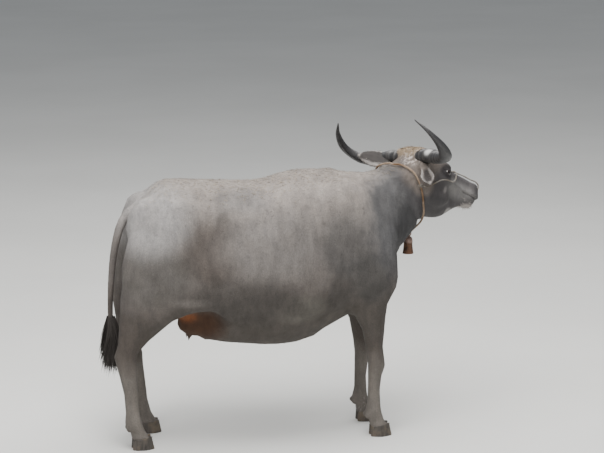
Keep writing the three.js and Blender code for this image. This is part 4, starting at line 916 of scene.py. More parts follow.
def markings_group():
    """Colour of the hide at a place, painted light and shade among it, and the share of bare muzzle"""
    tree, place = shader_group("hide_markings", Colour="NodeSocketColor", Bare="NodeSocketFloat")
    height = node(tree, "ShaderNodeSeparateXYZ", {0: place}).outputs["Z"]
    broad = noise(tree, place, 2.3, 5, 0.6)
    blotch = noise(tree, place, 8, 5, 0.62)
    uneven = maths(tree, "MULTIPLY", maths(tree, "SUBTRACT", blotch, 0.5), 0.7)
    level = maths(tree, "ADD", height, maths(tree, "MULTIPLY", maths(tree, "SUBTRACT", broad, 0.5), 0.4))
    # Darker from back to belly: the hide's own tone, with painted light on the back and painted shade low
    # on the belly
    colour = tones(tree, level, 0.55, 0.92, SHADED_BELLY_COLOUR, SIDE_COLOUR)
    colour = tones(tree, level, 0.93, 1.24, colour, LIT_BACK_COLOUR)
    shank = maths(tree, "MULTIPLY", ramp(tree, height, 0.46, 0.30), 0.7)
    colour = mixed(tree, shank, colour, SHANK_COLOUR)
    mirrored = folded(tree, place)
    for centre, radii, soft, tint, share in BODY_MARKINGS.values():
        mask = maths(tree, "MULTIPLY", patch(tree, mirrored, centre, radii, soft, uneven), share)
        colour = mixed(tree, mask, colour, (*tint, 1))
    on_head_place = head_local(tree, place)
    head_mirrored = folded(tree, on_head_place)
    bare = None
    for name, (centre, radii, soft, tint, share) in HEAD_MARKINGS.items():
        mask = patch(tree, head_mirrored, centre, radii, soft, maths(tree, "MULTIPLY", uneven, 0.8))
        bare = mask if name == "muzzle" else bare
        colour = mixed(tree, maths(tree, "MULTIPLY", mask, share), colour, (*tint, 1))
    dried = patch(tree, on_head_place, (-0.030, -0.035, -0.062), (0.055, 0.060, 0.045), 0.5, uneven)
    dried = maths(tree, "MULTIPLY", dried, ramp(tree, noise(tree, place, 62, 4, 0.6), 0.50, 0.60))
    colour = mixed(tree, maths(tree, "MULTIPLY", dried, 0.8), colour, MUD_COLOUR)
    streak = noise(tree, place, 30, 5, 0.62, (1, 0.7, 0.26))
    streaked = tones(tree, streak, 0.30, 0.72, (0.74, 0.74, 0.75, 1), (1.16, 1.15, 1.13, 1))
    colour = mixed(tree, 0.6, colour, streaked, "MULTIPLY")
    cloud = tones(tree, blotch, 0.3, 0.7, (0.80, 0.79, 0.78, 1), (1.16, 1.16, 1.16, 1))
    colour = mixed(tree, 0.8, colour, cloud, "MULTIPLY")
    node(tree, "NodeGroupOutput", {"Colour": colour, "Bare": bare})
    return tree


def relief_group():
    """Height of the hide: a net of fine wrinkles, pores and short flat hair"""
    tree, place = shader_group("hide_relief", Wrinkles="NodeSocketFloat", Hair="NodeSocketFloat")
    warp = node(tree, "ShaderNodeTexNoise", {"Vector": place, "Scale": 28, "Detail": 4}).outputs["Color"]
    drift = node(tree, "ShaderNodeVectorMath", {0: warp, "Scale": 0.03}, operation="SCALE").outputs[0]
    bent = vector_maths(tree, "ADD", place, drift)
    net = node(tree, "ShaderNodeTexVoronoi", {
        "Vector": vector_maths(tree, "MULTIPLY", bent, (1, 1, 0.6)), "Scale": 130,
    }, feature="DISTANCE_TO_EDGE").outputs["Distance"]
    furrow = ramp(tree, net, 0.0, 0.16)
    fine = ramp(tree, node(tree, "ShaderNodeTexVoronoi", {"Vector": bent, "Scale": 330},
                           feature="DISTANCE_TO_EDGE").outputs["Distance"], 0.0, 0.12)
    wrinkles = maths(tree, "ADD", maths(tree, "MULTIPLY", furrow, 0.7), maths(tree, "MULTIPLY", fine, 0.3))
    hair = noise(tree, bent, 620, 3, 0.7, (0.5, 1, 0.16))
    node(tree, "NodeGroupOutput", {"Wrinkles": wrinkles, "Hair": hair})
    return tree


markings = markings_group()
relief = relief_group()
RIM_COLOUR = (0.33, 0.31, 0.295, 1)
# Painted shade inside the ear cups
EAR_CUP_SHADE_COLOUR = (0.035, 0.030, 0.029, 1)


def lay_markings(tree, place):
    return node(tree, "ShaderNodeGroup", {"Place": place}, node_tree=markings).outputs


def attribute(tree, name):
    return node(tree, "ShaderNodeAttribute", attribute_name=name).outputs["Fac"]


skin_finish, tree, principled, place = shader("hide_skin", Specular_IOR_Level=0.32)
marked = lay_markings(tree, place)
raised = node(tree, "ShaderNodeGroup", {"Place": place}, node_tree=relief).outputs
# Painted shade: the hide is darker in the furrows of its wrinkle net
furrow_shade = tones(tree, raised["Wrinkles"], 0.2, 0.9, (0.86, 0.855, 0.85, 1), (1.04, 1.04, 1.04, 1))
colour = mixed(tree, 0.8, marked["Colour"], furrow_shade, "MULTIPLY")
speckle = tones(tree, raised["Hair"], 0.35, 0.7, (0.84, 0.83, 0.82, 1), (1.14, 1.14, 1.14, 1))
colour = mixed(tree, 0.8, colour, speckle, "MULTIPLY")
colour = mixed(tree, attribute(tree, "rim"), colour, RIM_COLOUR)
# Painted shade laid into the ear cups
colour = mixed(tree, attribute(tree, "ear_cup_shade"), colour, EAR_CUP_SHADE_COLOUR)
tree.links.new(colour, principled.inputs["Base Color"])
rough = maths(tree, "SUBTRACT", ramp(tree, raised["Hair"], 0.3, 0.7, 0.72, 0.88),
              maths(tree, "MULTIPLY", marked["Bare"], 0.38))
tree.links.new(rough, principled.inputs["Roughness"])
height = maths(tree, "ADD", maths(tree, "MULTIPLY", raised["Wrinkles"], 0.0005),
               maths(tree, "MULTIPLY", raised["Hair"], 0.0009))
bump(tree, principled, height, 1.0, 0.9)
skin_mesh.materials.append(skin_finish)

# Horns
# A pair of dark crescent horns of keratin, flattened and ringed near the root, swept back and
# in at the tips. Their upper edges are worn paler, and a pale spot near the right root is a painted
# highlight.
HORN_PATH = [
    (20, 62, -44), (6, 130, -46), (-6, 205, -62), (-48, 288, -68), (-130, 326, -44),
    (-208, 308, -4), (-266, 262, 34),
]
HORN_ACROSS = 0.046
HORN_DEEP = 0.036
HORN_TIP = 0.004
HORN_RINGS = 260
HORN_SIDES = 40
HORN_SQUARENESS = 2.35
HORN_SWELL = 0.028
# Centre of a painted highlight near the right horn's root
HIGHLIGHT_SPOT = (-32, -150, -42)

horn_finish, tree, principled, place = shader("horn_keratin", Coat_Weight=0.12, Coat_Roughness=0.3)
grain_map = node(tree, "ShaderNodeUVMap", uv_map="grain").outputs[0]
streaks = noise(tree, grain_map, 6, 5, 0.65, (26, 1.5, 1))
mottle = noise(tree, place, 30, 4)
facing = node(tree, "ShaderNodeSeparateXYZ", {
    0: node(tree, "ShaderNodeNewGeometry").outputs["Normal"],
}).outputs["Z"]
dark = tones(tree, streaks, 0.35, 0.72, (0.016, 0.016, 0.018, 1), (0.045, 0.043, 0.044, 1))
dusty = mixed(tree, maths(tree, "MULTIPLY", ramp(tree, facing, 0.55, 1.0), ramp(tree, mottle, 0.3, 0.6)),
              dark, (0.17, 0.165, 0.165, 1))
wear_and_highlight = mixed(tree, maths(tree, "MULTIPLY", attribute(tree, "ridge"), 0.4), dusty, (0.10, 0.092, 0.086, 1))
# Painted highlight: a pale spot near the right horn's root
pale = maths(tree, "MULTIPLY", attribute(tree, "painted_highlight"), ramp(tree, mottle, 0.2, 0.45))
tree.links.new(mixed(tree, pale, wear_and_highlight, (0.50, 0.49, 0.48, 1)), principled.inputs["Base Color"])
tree.links.new(ramp(tree, mottle, 0.3, 0.7, 0.38, 0.62), principled.inputs["Roughness"])
bump(tree, principled, streaks, 0.0012)


def tube_faces(rings, sides):
    """Faces between rings of points, as many to each ring, that are listed in order"""
    faces = []
    for ring in range(rings - 1):
        for side in range(sides):
            after = (side + 1) % sides
            here, there = ring * sides, (ring + 1) * sides
            faces.append((here + side, here + after, there + after, there + side))
    return faces


def horn_mesh(hand):
    middle = smooth_route([on_head(x, hand * y, z) for x, y, z in HORN_PATH], step=0.002)
    share = np.linspace(0, 1, HORN_RINGS)
    stops = np.linspace(0, 1, len(middle))
    centre = np.stack([np.interp(share, stops, middle[:, axis]) for axis in range(3)], axis=1)
    tangent = np.gradient(centre, axis=0)
    tangent /= np.linalg.norm(tangent, axis=1)[:, None]
    facing = np.array(on_head(-40, 0, 100) - on_head(0, 0, 0))
    aside = np.cross(facing / np.linalg.norm(facing), tangent)
    aside /= np.linalg.norm(aside, axis=1)[:, None]
    deep = np.cross(tangent, aside)
    taper = (1 - share**1.9) * (1 - 0.22 * share)
    wave = np.sin(share * 92 + 2.2 * np.sin(share * 17)) + 0.4 * np.sin(share * 211 + hand)
    ridged = np.clip(1 - share / 0.62, 0, 1) ** 0.7
    swell = 1 + HORN_SWELL * ridged * wave
    angle = np.linspace(0, math.tau, HORN_SIDES, endpoint=False)
    cosine, sine = np.cos(angle), np.sin(angle)
    square = (np.abs(cosine) ** HORN_SQUARENESS + np.abs(sine) ** HORN_SQUARENESS) ** (-1 / HORN_SQUARENESS)
    wide = (HORN_TIP * 0.6 + (HORN_ACROSS - HORN_TIP) * taper) * swell
    thick = (HORN_TIP * 0.6 + (HORN_DEEP - HORN_TIP) * taper) * swell
    ring = centre[:, None] + aside[:, None] * (wide[:, None] * cosine * square)[..., None]
    ring = ring + deep[:, None] * (thick[:, None] * sine * square)[..., None]
    verts = np.vstack([ring.reshape(-1, 3), centre[0], centre[-1] + tangent[-1] * 0.003])
    faces = tube_faces(HORN_RINGS, HORN_SIDES)
    root, tip = len(verts) - 2, len(verts) - 1
    last = (HORN_RINGS - 1) * HORN_SIDES
    for side in range(HORN_SIDES):
        after = (side + 1) % HORN_SIDES
        faces.append((after, side, root))
        faces.append((last + side, last + after, tip))
    mesh = bpy.data.meshes.new("horn")
    mesh.from_pydata(verts.tolist(), [], faces)
    shape = bmesh.new()
    shape.from_mesh(mesh)
    bmesh.ops.recalc_face_normals(shape, faces=shape.faces)
    shape.to_mesh(mesh)
    shape.free()
    crest = np.append(np.repeat(ridged * np.clip(wave, 0, 1), HORN_SIDES), [0, 0])
    store(mesh, "ridge", crest)
    away = np.linalg.norm(head_place(verts) - HIGHLIGHT_SPOT, axis=1)
    store(mesh, "painted_highlight", soft_step(away, 30, 8))
    grain = mesh.uv_layers.new(name="grain")
    for face in mesh.polygons:
        around = [index % HORN_SIDES for index in face.vertices]
        wraps = max(around) - min(around) > HORN_SIDES / 2
        for corner, index in zip(face.loop_indices, face.vertices):
            turn = index % HORN_SIDES
            turn = turn + HORN_SIDES if wraps and turn < HORN_SIDES / 2 else turn
            band = min(index // HORN_SIDES, HORN_RINGS - 1)
            grain.data[corner].uv = (turn / HORN_SIDES, band / HORN_RINGS)
    mesh.materials.append(horn_finish)
    return mesh


for name, hand in (("left", 1), ("right", -1)):
    horn = placed(f"crescent_horn_{name}", horn_mesh(hand))
    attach(horn, "root")
    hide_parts(f"horn_{name}")

# Eyes
# Dark brown, nearly black wet eyes with a wide pupil, set under heavy lids. Each is one ball,
# a little domed over the iris.
IRIS_HALF_ANGLE = 0.76
CORNEA_RISE = 0.0012
PUPIL_LENGTH = 0.44
PUPIL_HEIGHT = 0.20
BEHIND_PUPIL = 9

eye_finish, tree, principled, place = shader(
    "eye_wet", Roughness=0.12, Coat_Weight=0.6, Coat_Roughness=0.03)
fibre = noise(tree, place, 420, 4)
white = tones(tree, fibre, 0.3, 0.7, (0.030, 0.018, 0.014, 1), (0.060, 0.040, 0.032, 1))
brown = tones(tree, fibre, 0.3, 0.7, (0.008, 0.004, 0.003, 1), (0.022, 0.010, 0.006, 1))
seen_iris = tones(tree, attribute(tree, "iris"), 1.05, 0.92, white, brown)
seen_pupil = tones(tree, attribute(tree, "pupil"), 1.08, 0.9, seen_iris, (0.002, 0.002, 0.003, 1))
tree.links.new(seen_pupil, principled.inputs["Base Color"])

for name, hand in (("left", 1), ("right", -1)):
    gaze = Vector((EYE_GAZE[0], hand * EYE_GAZE[1], 0)).normalized()
    middle = Vector((EYE_CENTRE[0], hand * EYE_CENTRE[1], EYE_CENTRE[2]))
    lid_line = Vector((math.cos(LID_TILT), 0, -math.sin(LID_TILT)))
    above = gaze.cross(lid_line).normalized() * (1 if hand > 0 else -1)
    ball = bmesh.new()
    bmesh.ops.create_uvsphere(ball, u_segments=64, v_segments=40, radius=EYE_RADIUS)
    iris_values, pupil_values = [], []
    for vertex in ball.verts:
        out = vertex.co.normalized()
        angle = out.angle(gaze)
        vertex.co += out * CORNEA_RISE * max(1 - (angle / (IRIS_HALF_ANGLE * 1.25)) ** 2, 0)
        iris_values.append(angle / IRIS_HALF_ANGLE)
        off_centre = math.hypot(out.dot(lid_line) / PUPIL_LENGTH, out.dot(above) / PUPIL_HEIGHT)
        pupil_values.append(off_centre if out.dot(gaze) > 0 else BEHIND_PUPIL)
        vertex.co = on_head(*(middle + vertex.co * 1000))
    eye_mesh = bpy.data.meshes.new(f"eye_{name}")
    ball.to_mesh(eye_mesh)
    ball.free()
    store(eye_mesh, "iris", iris_values)
    store(eye_mesh, "pupil", pupil_values)
    eye_mesh.materials.append(eye_finish)
    eyeball = placed(f"eyeball_{name}", eye_mesh)
    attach(eyeball, "root")
    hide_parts(f"eye_{name}")

# Coat
# Short sparse hair that lies flat over the whole hide, a low golden fringe along the back, a tan
# thatch on the poll, pale fringes on the ears and stiff whiskers on lips and chin. It is made as
# tufts of thin blades, rooted in the skin and laid along its growth.
ROOTING_FACES = 24000
TUFT_PATCH = 0.003
TUFT_SINK = 0.0008
BLADE_STEPS = 3
SHORTEST_TUFT = 0.65
LONGEST_TUFT = 1.25
FOREQUARTERS_START = 0.1
HEAD_START = 0.46
HAIR_LENGTH = 0.013
FACE_SHORTENING = 0.006
SHANK_SHORTENING = 0.003
UDDER_CENTRE = on_body(-330, 0, 540)
POLL_CENTRE = (-18, 0, -6)
POLL_SIZE = (80, 74, 44)
# Directions in which the hair lies. That of the face is in the head's own axes.
BACK_LIE = (-0.85, 0.0, -0.30)
SIDE_LIE = (-0.62, 0.0, -0.78)
LEG_LIE = (-0.12, 0.0, -1.0)
FACE_LIE = (0.9, 0.0, -0.35)
TAIL_LIE = (-0.1, 0.0, -1.0)

emitter_mesh = with_modifier(skin_mesh, "DECIMATE", ratio=ROOTING_FACES / len(skin_mesh.polygons))
emitter_mesh.materials.clear()
unwrapped = placed("emitter", emitter_mesh)
emitter_mesh.uv_layers.new(name="OFBake")
bpy.context.view_layer.objects.active = unwrapped
unwrapped.select_set(True)
bpy.ops.object.mode_set(mode="EDIT")
bpy.ops.mesh.select_all(action="SELECT")
bpy.ops.uv.smart_project(angle_limit=math.radians(66), island_margin=0.004)
bpy.ops.object.mode_set(mode="OBJECT")
unwrapped.select_set(False)


def growth(points, normals):
    """Direction in which the hair lies: back and down on the body, down the legs, to the nose"""
    local = head_place(points)
    flow = np.tile(BACK_LIE, (len(points), 1))
    side = soft_step(np.abs(points[:, 1]), 0.05, 0.28)[:, None]
    flow = flow * (1 - side) + np.array(SIDE_LIE) * side
    low = soft_step(points[:, 2], 0.62, 0.45)[:, None]
    flow = flow * (1 - low) + np.array(LEG_LIE) * low
    face = soft_step(local[:, 0], -20, 60) * soft_step(local[:, 0], 560, 520)
    face *= soft_step(points[:, 0], 0.45, 0.50)
    nose = HEAD_AXES @ FACE_LIE
    flow = flow * (1 - face[:, None]) + nose * face[:, None]
    for hand, (axis, *_) in EARS.items():
        inside = (ear_share(points) * (np.sign(local[:, 1]) == hand))[:, None]
        flow = flow * (1 - inside) + (HEAD_AXES @ axis) * inside
    tail = (points[:, 0] < -0.80)[:, None]
    flow = np.where(tail, TAIL_LIE, flow)
    flow -= normals * (flow * normals).sum(axis=1)[:, None]
    return flow / np.maximum(np.linalg.norm(flow, axis=1), 1e-6)[:, None]


def tuft_template(blades, droop, width, splay):
    """A few tapered blades that leave one root, unit long, lying along +X with +Z outwards"""
    verts, faces, patch_places = [], [], []
    for blade in range(blades):
        turn = (blade - (blades - 1) / 2) * splay
        reach = 1 - 0.22 * (blade % 2)
        start = len(verts)
        for step in range(BLADE_STEPS + 1):
            share = step / BLADE_STEPS
            along = share * reach
            rise = math.sin(share * 1.9) * droop * reach
            x = along * math.cos(turn)
            y = along * math.sin(turn) + 0.03 * (blade - 1)
            half = width * (1 - share) ** 0.8 + 0.002
            if step < BLADE_STEPS:
                verts += [(x, y - half, rise), (x, y + half, rise)]
                patch_places += [(0.2 + 0.3 * share, 0.2), (0.2 + 0.3 * share, 0.8)]
            else:
                verts.append((x, y, rise))
                patch_places.append((0.8, 0.5))
        for step in range(BLADE_STEPS - 1):
            a = start + 2 * step
            faces.append((a, a + 2, a + 3, a + 1))
        a = start + 2 * (BLADE_STEPS - 1)
        faces.append((a, a + 2, a + 1))
    mesh = bpy.data.meshes.new("tuft")
    mesh.from_pydata(verts, [], faces)
    layer = mesh.uv_layers.new(name="patch")
    for loop in mesh.loops:
        layer.data[loop.index].uv = patch_places[loop.vertex_index]
    return linked("tuft", mesh)


def tuft_tree():
    """Scatters tufts over a surface that carries their number, length and lie on its points"""
    tree, given = geometry_tree("laid_tufts", {"Seed": 1, "Turn": 0.3, "Tilt": 0.1})
    tree.interface.new_socket("Tuft", in_out="INPUT", socket_type="NodeSocketObject")
    tuft = tree.nodes["Group Input"].outputs["Tuft"]

    def read(name, kind):
        return node(tree, "GeometryNodeInputNamedAttribute", {"Name": name}, data_type=kind).outputs[0]

    def chance(low, high, step):
        seed = maths(tree, "ADD", given["Seed"], step)
        return node(tree, "FunctionNodeRandomValue", {"Min": low, "Max": high, "Seed": seed},
                    data_type="FLOAT").outputs[1]

    scattered = node(tree, "GeometryNodeDistributePointsOnFaces", {
        "Mesh": given["Shape"], "Density": read("number", "FLOAT"), "Seed": given["Seed"],
    })
    rooted = node(tree, "GeometryNodeStoreNamedAttribute", {
        "Geometry": scattered.outputs["Points"], "Name": "root_patch",
        "Value": read("OFBake", "FLOAT_VECTOR"),
    }, data_type="FLOAT_VECTOR", domain="POINT")
    cleared = node(tree, "GeometryNodeRemoveAttribute", {"Geometry": rooted.outputs[0], "Name": "OFBake"})
    facing = node(tree, "FunctionNodeAxesToRotation", {
        "Primary Axis": read("lie", "FLOAT_VECTOR"), "Secondary Axis": scattered.outputs["Normal"],
    }, primary_axis="X", secondary_axis="Z").outputs[0]
    spin = node(tree, "FunctionNodeAxisAngleToRotation", {
        "Axis": (0, 0, 1), "Angle": maths(tree, "MULTIPLY", chance(-1.0, 1.0, 3), given["Turn"]),
    }).outputs[0]
    lift = node(tree, "FunctionNodeAxisAngleToRotation", {
        "Axis": (0, -1, 0), "Angle": maths(tree, "MULTIPLY", chance(0.2, 1.0, 5), given["Tilt"]),
    }).outputs[0]
    turned_once = node(tree, "FunctionNodeRotateRotation", {0: facing, 1: spin}, rotation_space="LOCAL")
    turned_twice = node(tree, "FunctionNodeRotateRotation", {0: turned_once.outputs[0], 1: lift},
                        rotation_space="LOCAL")
    size = maths(tree, "MULTIPLY", read("reach", "FLOAT"), chance(SHORTEST_TUFT, LONGEST_TUFT, 7))
    sunk = node(tree, "ShaderNodeVectorMath", {0: scattered.outputs["Normal"], "Scale": -TUFT_SINK},
                operation="SCALE").outputs[0]
    lowered = node(tree, "GeometryNodeSetPosition", {"Geometry": cleared.outputs[0], "Offset": sunk})
    shape = node(tree, "GeometryNodeObjectInfo", {0: tuft}).outputs["Geometry"]
    planted = node(tree, "GeometryNodeInstanceOnPoints", {
        "Points": lowered.outputs[0], "Instance": shape,
        "Rotation": turned_twice.outputs[0], "Scale": size,
    })
    close_tree(tree, planted.outputs[0], given["Material"])
    return tree


def hair_finish(name, tint=(0, 0, 0), share=0.0):
    """Hair that takes the hide's own markings, painted light and shade among them, with a share of its own
    colour
    """
    material, tree, principled, place = shader(name, Roughness=0.7, Specular_IOR_Level=0.25)
    colour = mixed(tree, share, lay_markings(tree, place)["Colour"], (*tint, 1))
    shade = noise(tree, place, 260, 3, 0.7)
    varied = tones(tree, shade, 0.3, 0.7, (0.72, 0.72, 0.72, 1), (1.25, 1.25, 1.25, 1))
    tree.links.new(mixed(tree, 1.0, colour, varied, "MULTIPLY"), principled.inputs["Base Color"])
    bump(tree, principled, noise(tree, place, 1400, 2, 0.6), 0.0003)
    return material


def pack_patches(mesh):
    """Writes the OFBake map: each tuft a small patch at its root's place on the hide's unwrap"""
    root = np.empty(len(mesh.vertices) * 3, np.float32)
    mesh.attributes["root_patch"].data.foreach_get("vector", root)
    corner_vertex = np.empty(len(mesh.loops), np.int64)
    mesh.loops.foreach_get("vertex_index", corner_vertex)
    own = np.empty(len(mesh.loops) * 2, np.float32)
    mesh.uv_layers["patch"].data.foreach_get("uv", own)
    spread = (own.reshape(-1, 2) - 0.5) * TUFT_PATCH
    placed_uv = root.reshape(-1, 3)[corner_vertex, :2] + spread
    layer = mesh.uv_layers.new(name="OFBake")
    layer.data.foreach_set("uv", placed_uv.astype(np.float32).ravel())
    mesh.uv_layers.remove(mesh.uv_layers["patch"])
    mesh.attributes.remove(mesh.attributes["root_patch"])
    mesh.uv_layers["OFBake"].active_render = True


laid_tufts = tuft_tree()


def scatter_tufts(name, base, number, reach, lie, tuft, material, seed, turn, tilt):
    """Tufts on a mesh, number of them to the square metre, reach metres long, laid along lie"""
    surface = base.copy()
    store(surface, "number", number)
    store(surface, "reach", reach)
    store(surface, "lie", lie, "FLOAT_VECTOR")
    piece = grow(name, linked("surface", surface), laid_tufts, {
        "Seed": seed, "Turn": turn, "Tilt": tilt, "Tuft": tuft, "Material": material,
    })
    pack_patches(piece.data)
    return piece


def hairy_share(spots):
    """0 where no short hair grows: muzzle, eyes, udder, feet and the horns' roots"""
    local = head_place(spots)
    nose = np.clip(soft_step(local[:, 0], 425, 400) + soft_step(local[:, 2], -128, -150), 0, 1)
    eyes = soft_step(np.linalg.norm(one_side(local) - EYE_CENTRE, axis=1), 30, 42)
    horns = soft_step(np.linalg.norm(one_side(local) - HORN_PATH[0], axis=1), 38, 46)
    udder = soft_step(np.linalg.norm(spots - UDDER_CENTRE, axis=1), 0.12, 0.18)
    off_head = np.linalg.norm(local, axis=1) > HEAD_END
    return np.where(off_head, udder, nose * eyes * horns) * (spots[:, 2] > 0.07)


def ridge_share(spots, outward):
    """1 along the top of back and neck"""
    top = soft_step(outward[:, 2], 0.72, 0.95) * soft_step(spots[:, 2], 1.12, 1.18)
    return top * soft_step(spots[:, 0], -0.82, -0.70) * (spots[:, 0] < 0.52) * (1 - ear_share(spots))


def poll_share(spots):
    away = np.linalg.norm((head_place(spots) - POLL_CENTRE) / POLL_SIZE, axis=1)
    return soft_step(away, 1.1, 0.65)


def chin_share(spots, outward):
    local = head_place(spots)
    under = soft_step(local[:, 2], -132, -150) * soft_step(local[:, 0], 340, 380)
    return under * soft_step(outward[:, 2], 0.3, -0.2)


spots, outward = points_of(emitter_mesh), normals_of(emitter_mesh)
ahead, left, height = spots[:, 0], spots[:, 1] > 0, spots[:, 2]
rear, head = ahead < FOREQUARTERS_START, ahead >= HEAD_START
hairy = hairy_share(spots)
on_face = soft_step(head_place(spots)[:, 0], -40, 20) * soft_step(ahead, 0.45, 0.52) * (height > 0.9)
short = HAIR_LENGTH - FACE_SHORTENING * on_face - SHANK_SHORTENING * soft_step(height, 0.45, 0.25)
flat = np.ones(len(spots))
short_tuft = tuft_template(3, 0.14, 0.042, 0.15)
long_tuft = tuft_template(4, 0.20, 0.024, 0.20)
close = (short_tuft, hair_finish("short_hair"))
golden = (long_tuft, hair_finish("golden_fringe", (0.46, 0.37, 0.24), 0.45))
tan = (long_tuft, hair_finish("poll_hair", (0.36, 0.275, 0.185), 0.7))
whisker = (long_tuft, hair_finish("whiskers", (0.34, 0.31, 0.29), 0.7))
pale = (long_tuft, hair_finish("ear_hair", (0.42, 0.39, 0.37), 0.8))
# Name, tufts to the square metre, length in metres, hair, seed, turn and tilt in radians
COAT = [
    ("coat_right_flank", 3400 * hairy * (rear & ~left), short, close, 32, 0.22, 0.10),
    ("coat_left_flank", 3400 * hairy * (rear & left), short, close, 31, 0.22, 0.10),
    ("coat_forequarters", 3400 * hairy * (~rear & ~head), short, close, 33, 0.22, 0.10),
    ("coat_head", 9000 * hairy * head, short, close, 25, 0.22, 0.10),
    ("coat_back_fringe", 9000 * ridge_share(spots, outward), 0.014 * flat, golden, 5, 0.5, 0.4),
    ("coat_poll", 42000 * poll_share(spots) * hairy, 0.020 * flat, tan, 9, 0.9, 0.3),
    ("coat_whiskers", 7000 * chin_share(spots, outward), 0.017 * flat, whisker, 3, 0.4, 0.6),
    ("coat_ear_fringe", 30000 * ear_masks(spots, outward)[0], 0.011 * flat, pale, 4, 0.5, 0.35),
]
lie = growth(spots, outward)
for name, number, reach, (tuft, finish), seed, turn, tilt in COAT:
    piece = scatter_tufts(name, emitter_mesh, number, reach, lie, tuft, finish, seed, turn, tilt)
    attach(piece, "root")

# Tail switch
# The long dark hair at the end of the tail, in slim tapered locks rooted all along its last
# stretch and hanging straight down.
SWITCH_RINGS = [(0.612, 0.014), (0.57, 0.018), (0.52, 0.021), (0.47, 0.016), (0.43, 0.006)]
SWITCH_CENTRE = on_body(-734, 9, 0)
SWITCH_TOP, SWITCH_END = SWITCH_RINGS[0][0], SWITCH_RINGS[-1][0]
SWITCH_NUMBER = 26000
LONGEST_LOCK = 0.135
LOCK_SHORTENING = 0.2

outline = [(0, SWITCH_TOP), *((radius, height) for height, radius in SWITCH_RINGS), (0, SWITCH_END)]
core_parts = turned(outline, SWITCH_CENTRE, 24)
bmesh.ops.subdivide_edges(core_parts, edges=core_parts.edges, cuts=2, use_grid_fill=True)
bmesh.ops.triangulate(core_parts, faces=core_parts.faces)
core_mesh = bpy.data.meshes.new("switch_core")
core_parts.to_mesh(core_mesh)
core_parts.free()
switch_hair = hair_finish("switch_hair", (0.030, 0.026, 0.024), 0.9)
lock = tuft_template(5, 0.10, 0.020, 0.09)
tail_end = int(np.argmin(np.linalg.norm(spots - SWITCH_CENTRE - [0, 0, 0.62], axis=1)))
tail_patch = next(emitter_mesh.uv_layers["OFBake"].data[loop.index].uv.copy()
                  for loop in emitter_mesh.loops if loop.vertex_index == tail_end)
root_map = core_mesh.uv_layers.new(name="OFBake")
for loop in core_mesh.loops:
    root_map.data[loop.index].uv = tail_patch
spots = points_of(core_mesh)
lengths = LONGEST_LOCK - LOCK_SHORTENING * (SWITCH_TOP - spots[:, 2])
down = np.tile([0.02, 0.0, -1.0], (len(spots), 1))
switch = scatter_tufts("tail_hair", core_mesh, np.full(len(spots), float(SWITCH_NUMBER)), lengths, down,
                       lock, switch_hair, 8, 0.12, 0.14)
core_mesh.uv_layers.remove(core_mesh.uv_layers["OFBake"])
core_mesh.materials.append(switch_hair)
core = placed("tail_hair_core", core_mesh)
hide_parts("tail_switch")
for part in (core, switch):
    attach(part, "root")
for helper in (unwrapped, short_tuft, long_tuft, lock):
    bpy.data.objects.remove(helper)

# Hooves
# Cloven hooves of dark keratin, two claws to a foot, with flat soles and growth rings that
# run parallel to the hair line.
CLAW_LENGTH = 0.104
CLAW_WIDTH = 0.045
CLAW_APART = 0.003
CLAW_AHEAD = 0.010
TOE_SLOPE = 0.014
CORONET_RISE = 0.020
CLAW_SIDES = 36
CLAW_RINGS = 18

hoof_finish, tree, principled, place = shader("hoof_keratin", Specular_IOR_Level=0.4)
mud = ramp(tree, noise(tree, place, 18, 5, 0.6), 0.42, 0.66)
grain = noise(tree, place, 60, 4, 0.6, (1, 1, 0.25))
keratin = tones(tree, grain, 0.3, 0.7, (0.028, 0.025, 0.023, 1), (0.075, 0.064, 0.055, 1))
tree.links.new(mixed(tree, maths(tree, "MULTIPLY", mud, 0.7), keratin, (0.15, 0.12, 0.09, 1)),
               principled.inputs["Base Color"])
tree.links.new(ramp(tree, mud, 0, 1, 0.5, 0.9), principled.inputs["Roughness"])
bump(tree, principled, grain, 0.0010)


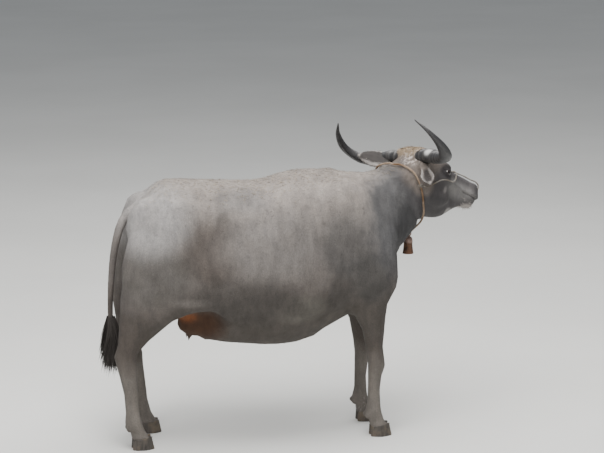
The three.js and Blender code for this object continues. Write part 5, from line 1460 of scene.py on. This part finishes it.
def claw_mesh(foot, inner):
    verts = []
    angles = np.linspace(0, math.tau, CLAW_SIDES, endpoint=False)
    spread = (CLAW_WIDTH + CLAW_APART) / 2
    for ring in range(CLAW_RINGS + 1):
        rise = ring / CLAW_RINGS
        level = rise * HOOF_TOP / (HOOF_TOP + CORONET_RISE)
        ripple = 1 + 0.010 * math.sin(rise * 34) * rise + 0.012 * (rise > 0.93)
        size = (1 - 0.1 * level) * ripple * (1 - 0.035 * (rise < 0.04))
        for angle in angles:
            ahead, out = math.cos(angle), math.sin(angle)
            toe = max(ahead, 0)
            narrow = (1 - 0.36 * toe**2) * size
            x = (ahead * CLAW_LENGTH * 0.5 + CLAW_AHEAD - level * TOE_SLOPE * toe) * size
            y = inner * (spread * (0.94 + 0.06 * level) - 0.005 * toe * (1 - level))
            z = rise * (HOOF_TOP + HOOF_SLOPE * x)
            verts.append((foot.x + x, foot.y + y + out * CLAW_WIDTH / 2 * narrow, z))
    faces = tube_faces(CLAW_RINGS + 1, CLAW_SIDES)
    faces.append(tuple(range(CLAW_SIDES))[::-1])
    faces.append(tuple(range(CLAW_RINGS * CLAW_SIDES, (CLAW_RINGS + 1) * CLAW_SIDES)))
    mesh = bpy.data.meshes.new("claw")
    mesh.from_pydata(verts, [], faces)
    mesh.materials.append(hoof_finish)
    return mesh


FOOT_NAMES = [("fore", "left"), ("fore", "right"), ("hind", "left"), ("hind", "right")]
for foot, (end, hand_name) in zip(FEET, FOOT_NAMES):
    outward = 1 if hand_name == "left" else -1
    for place_name, inner in (("outer", outward), ("inner", -outward)):
        claw = placed(f"claw_{end}_{hand_name}_{place_name}", claw_mesh(foot, inner))
        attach(claw, "root")
        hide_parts(f"hoof_{end}_{hand_name}_{place_name}")

# Studio
# A wide pale floor, soft light from above as under a bright overcast sky, and a faint fill
# from the camera's side.
floor_mesh = bpy.data.meshes.new("floor")
floor_mesh.from_pydata([(-60, -60, 0), (60, -60, 0), (60, 60, 0), (-60, 60, 0)], [], [(0, 1, 2, 3)])
floor_finish, tree, principled, place = shader("floor_pale", Roughness=0.9, Specular_IOR_Level=0.2)
cloudy = noise(tree, place, 0.6, 4)
pale_floor = tones(tree, cloudy, 0.3, 0.7, (0.70, 0.70, 0.68, 1), (0.74, 0.74, 0.72, 1))
tree.links.new(pale_floor, principled.inputs["Base Color"])
floor_mesh.materials.append(floor_finish)
floor = linked("floor", floor_mesh)

LIGHT_AIM = Vector((0, 0, 0.9))
# Name, place, width and power
LIGHTS = [
    ("key", (-1.5, -3.5, 7.0), 5.0, 760),
    ("top", (0.5, 1.0, 7.5), 6.0, 620),
    ("fill", (-3.0, -8.0, 2.0), 4.0, 60),
]
for name, spot, size, power in LIGHTS:
    lamp = bpy.data.lights.new(name, "AREA")
    lamp.size = size
    lamp.energy = power
    lamp.color = (1.0, 0.985, 0.96)
    holder = linked(name, lamp)
    holder.location = spot
    holder.rotation_euler = (LIGHT_AIM - Vector(spot)).to_track_quat("-Z", "Y").to_euler()
world = bpy.data.worlds.new("world")
world.use_nodes = True
world.node_tree.nodes["Background"].inputs["Color"].default_value = (0.86, 0.90, 0.95, 1)
world.node_tree.nodes["Background"].inputs["Strength"].default_value = 0.34
bpy.context.scene.world = world
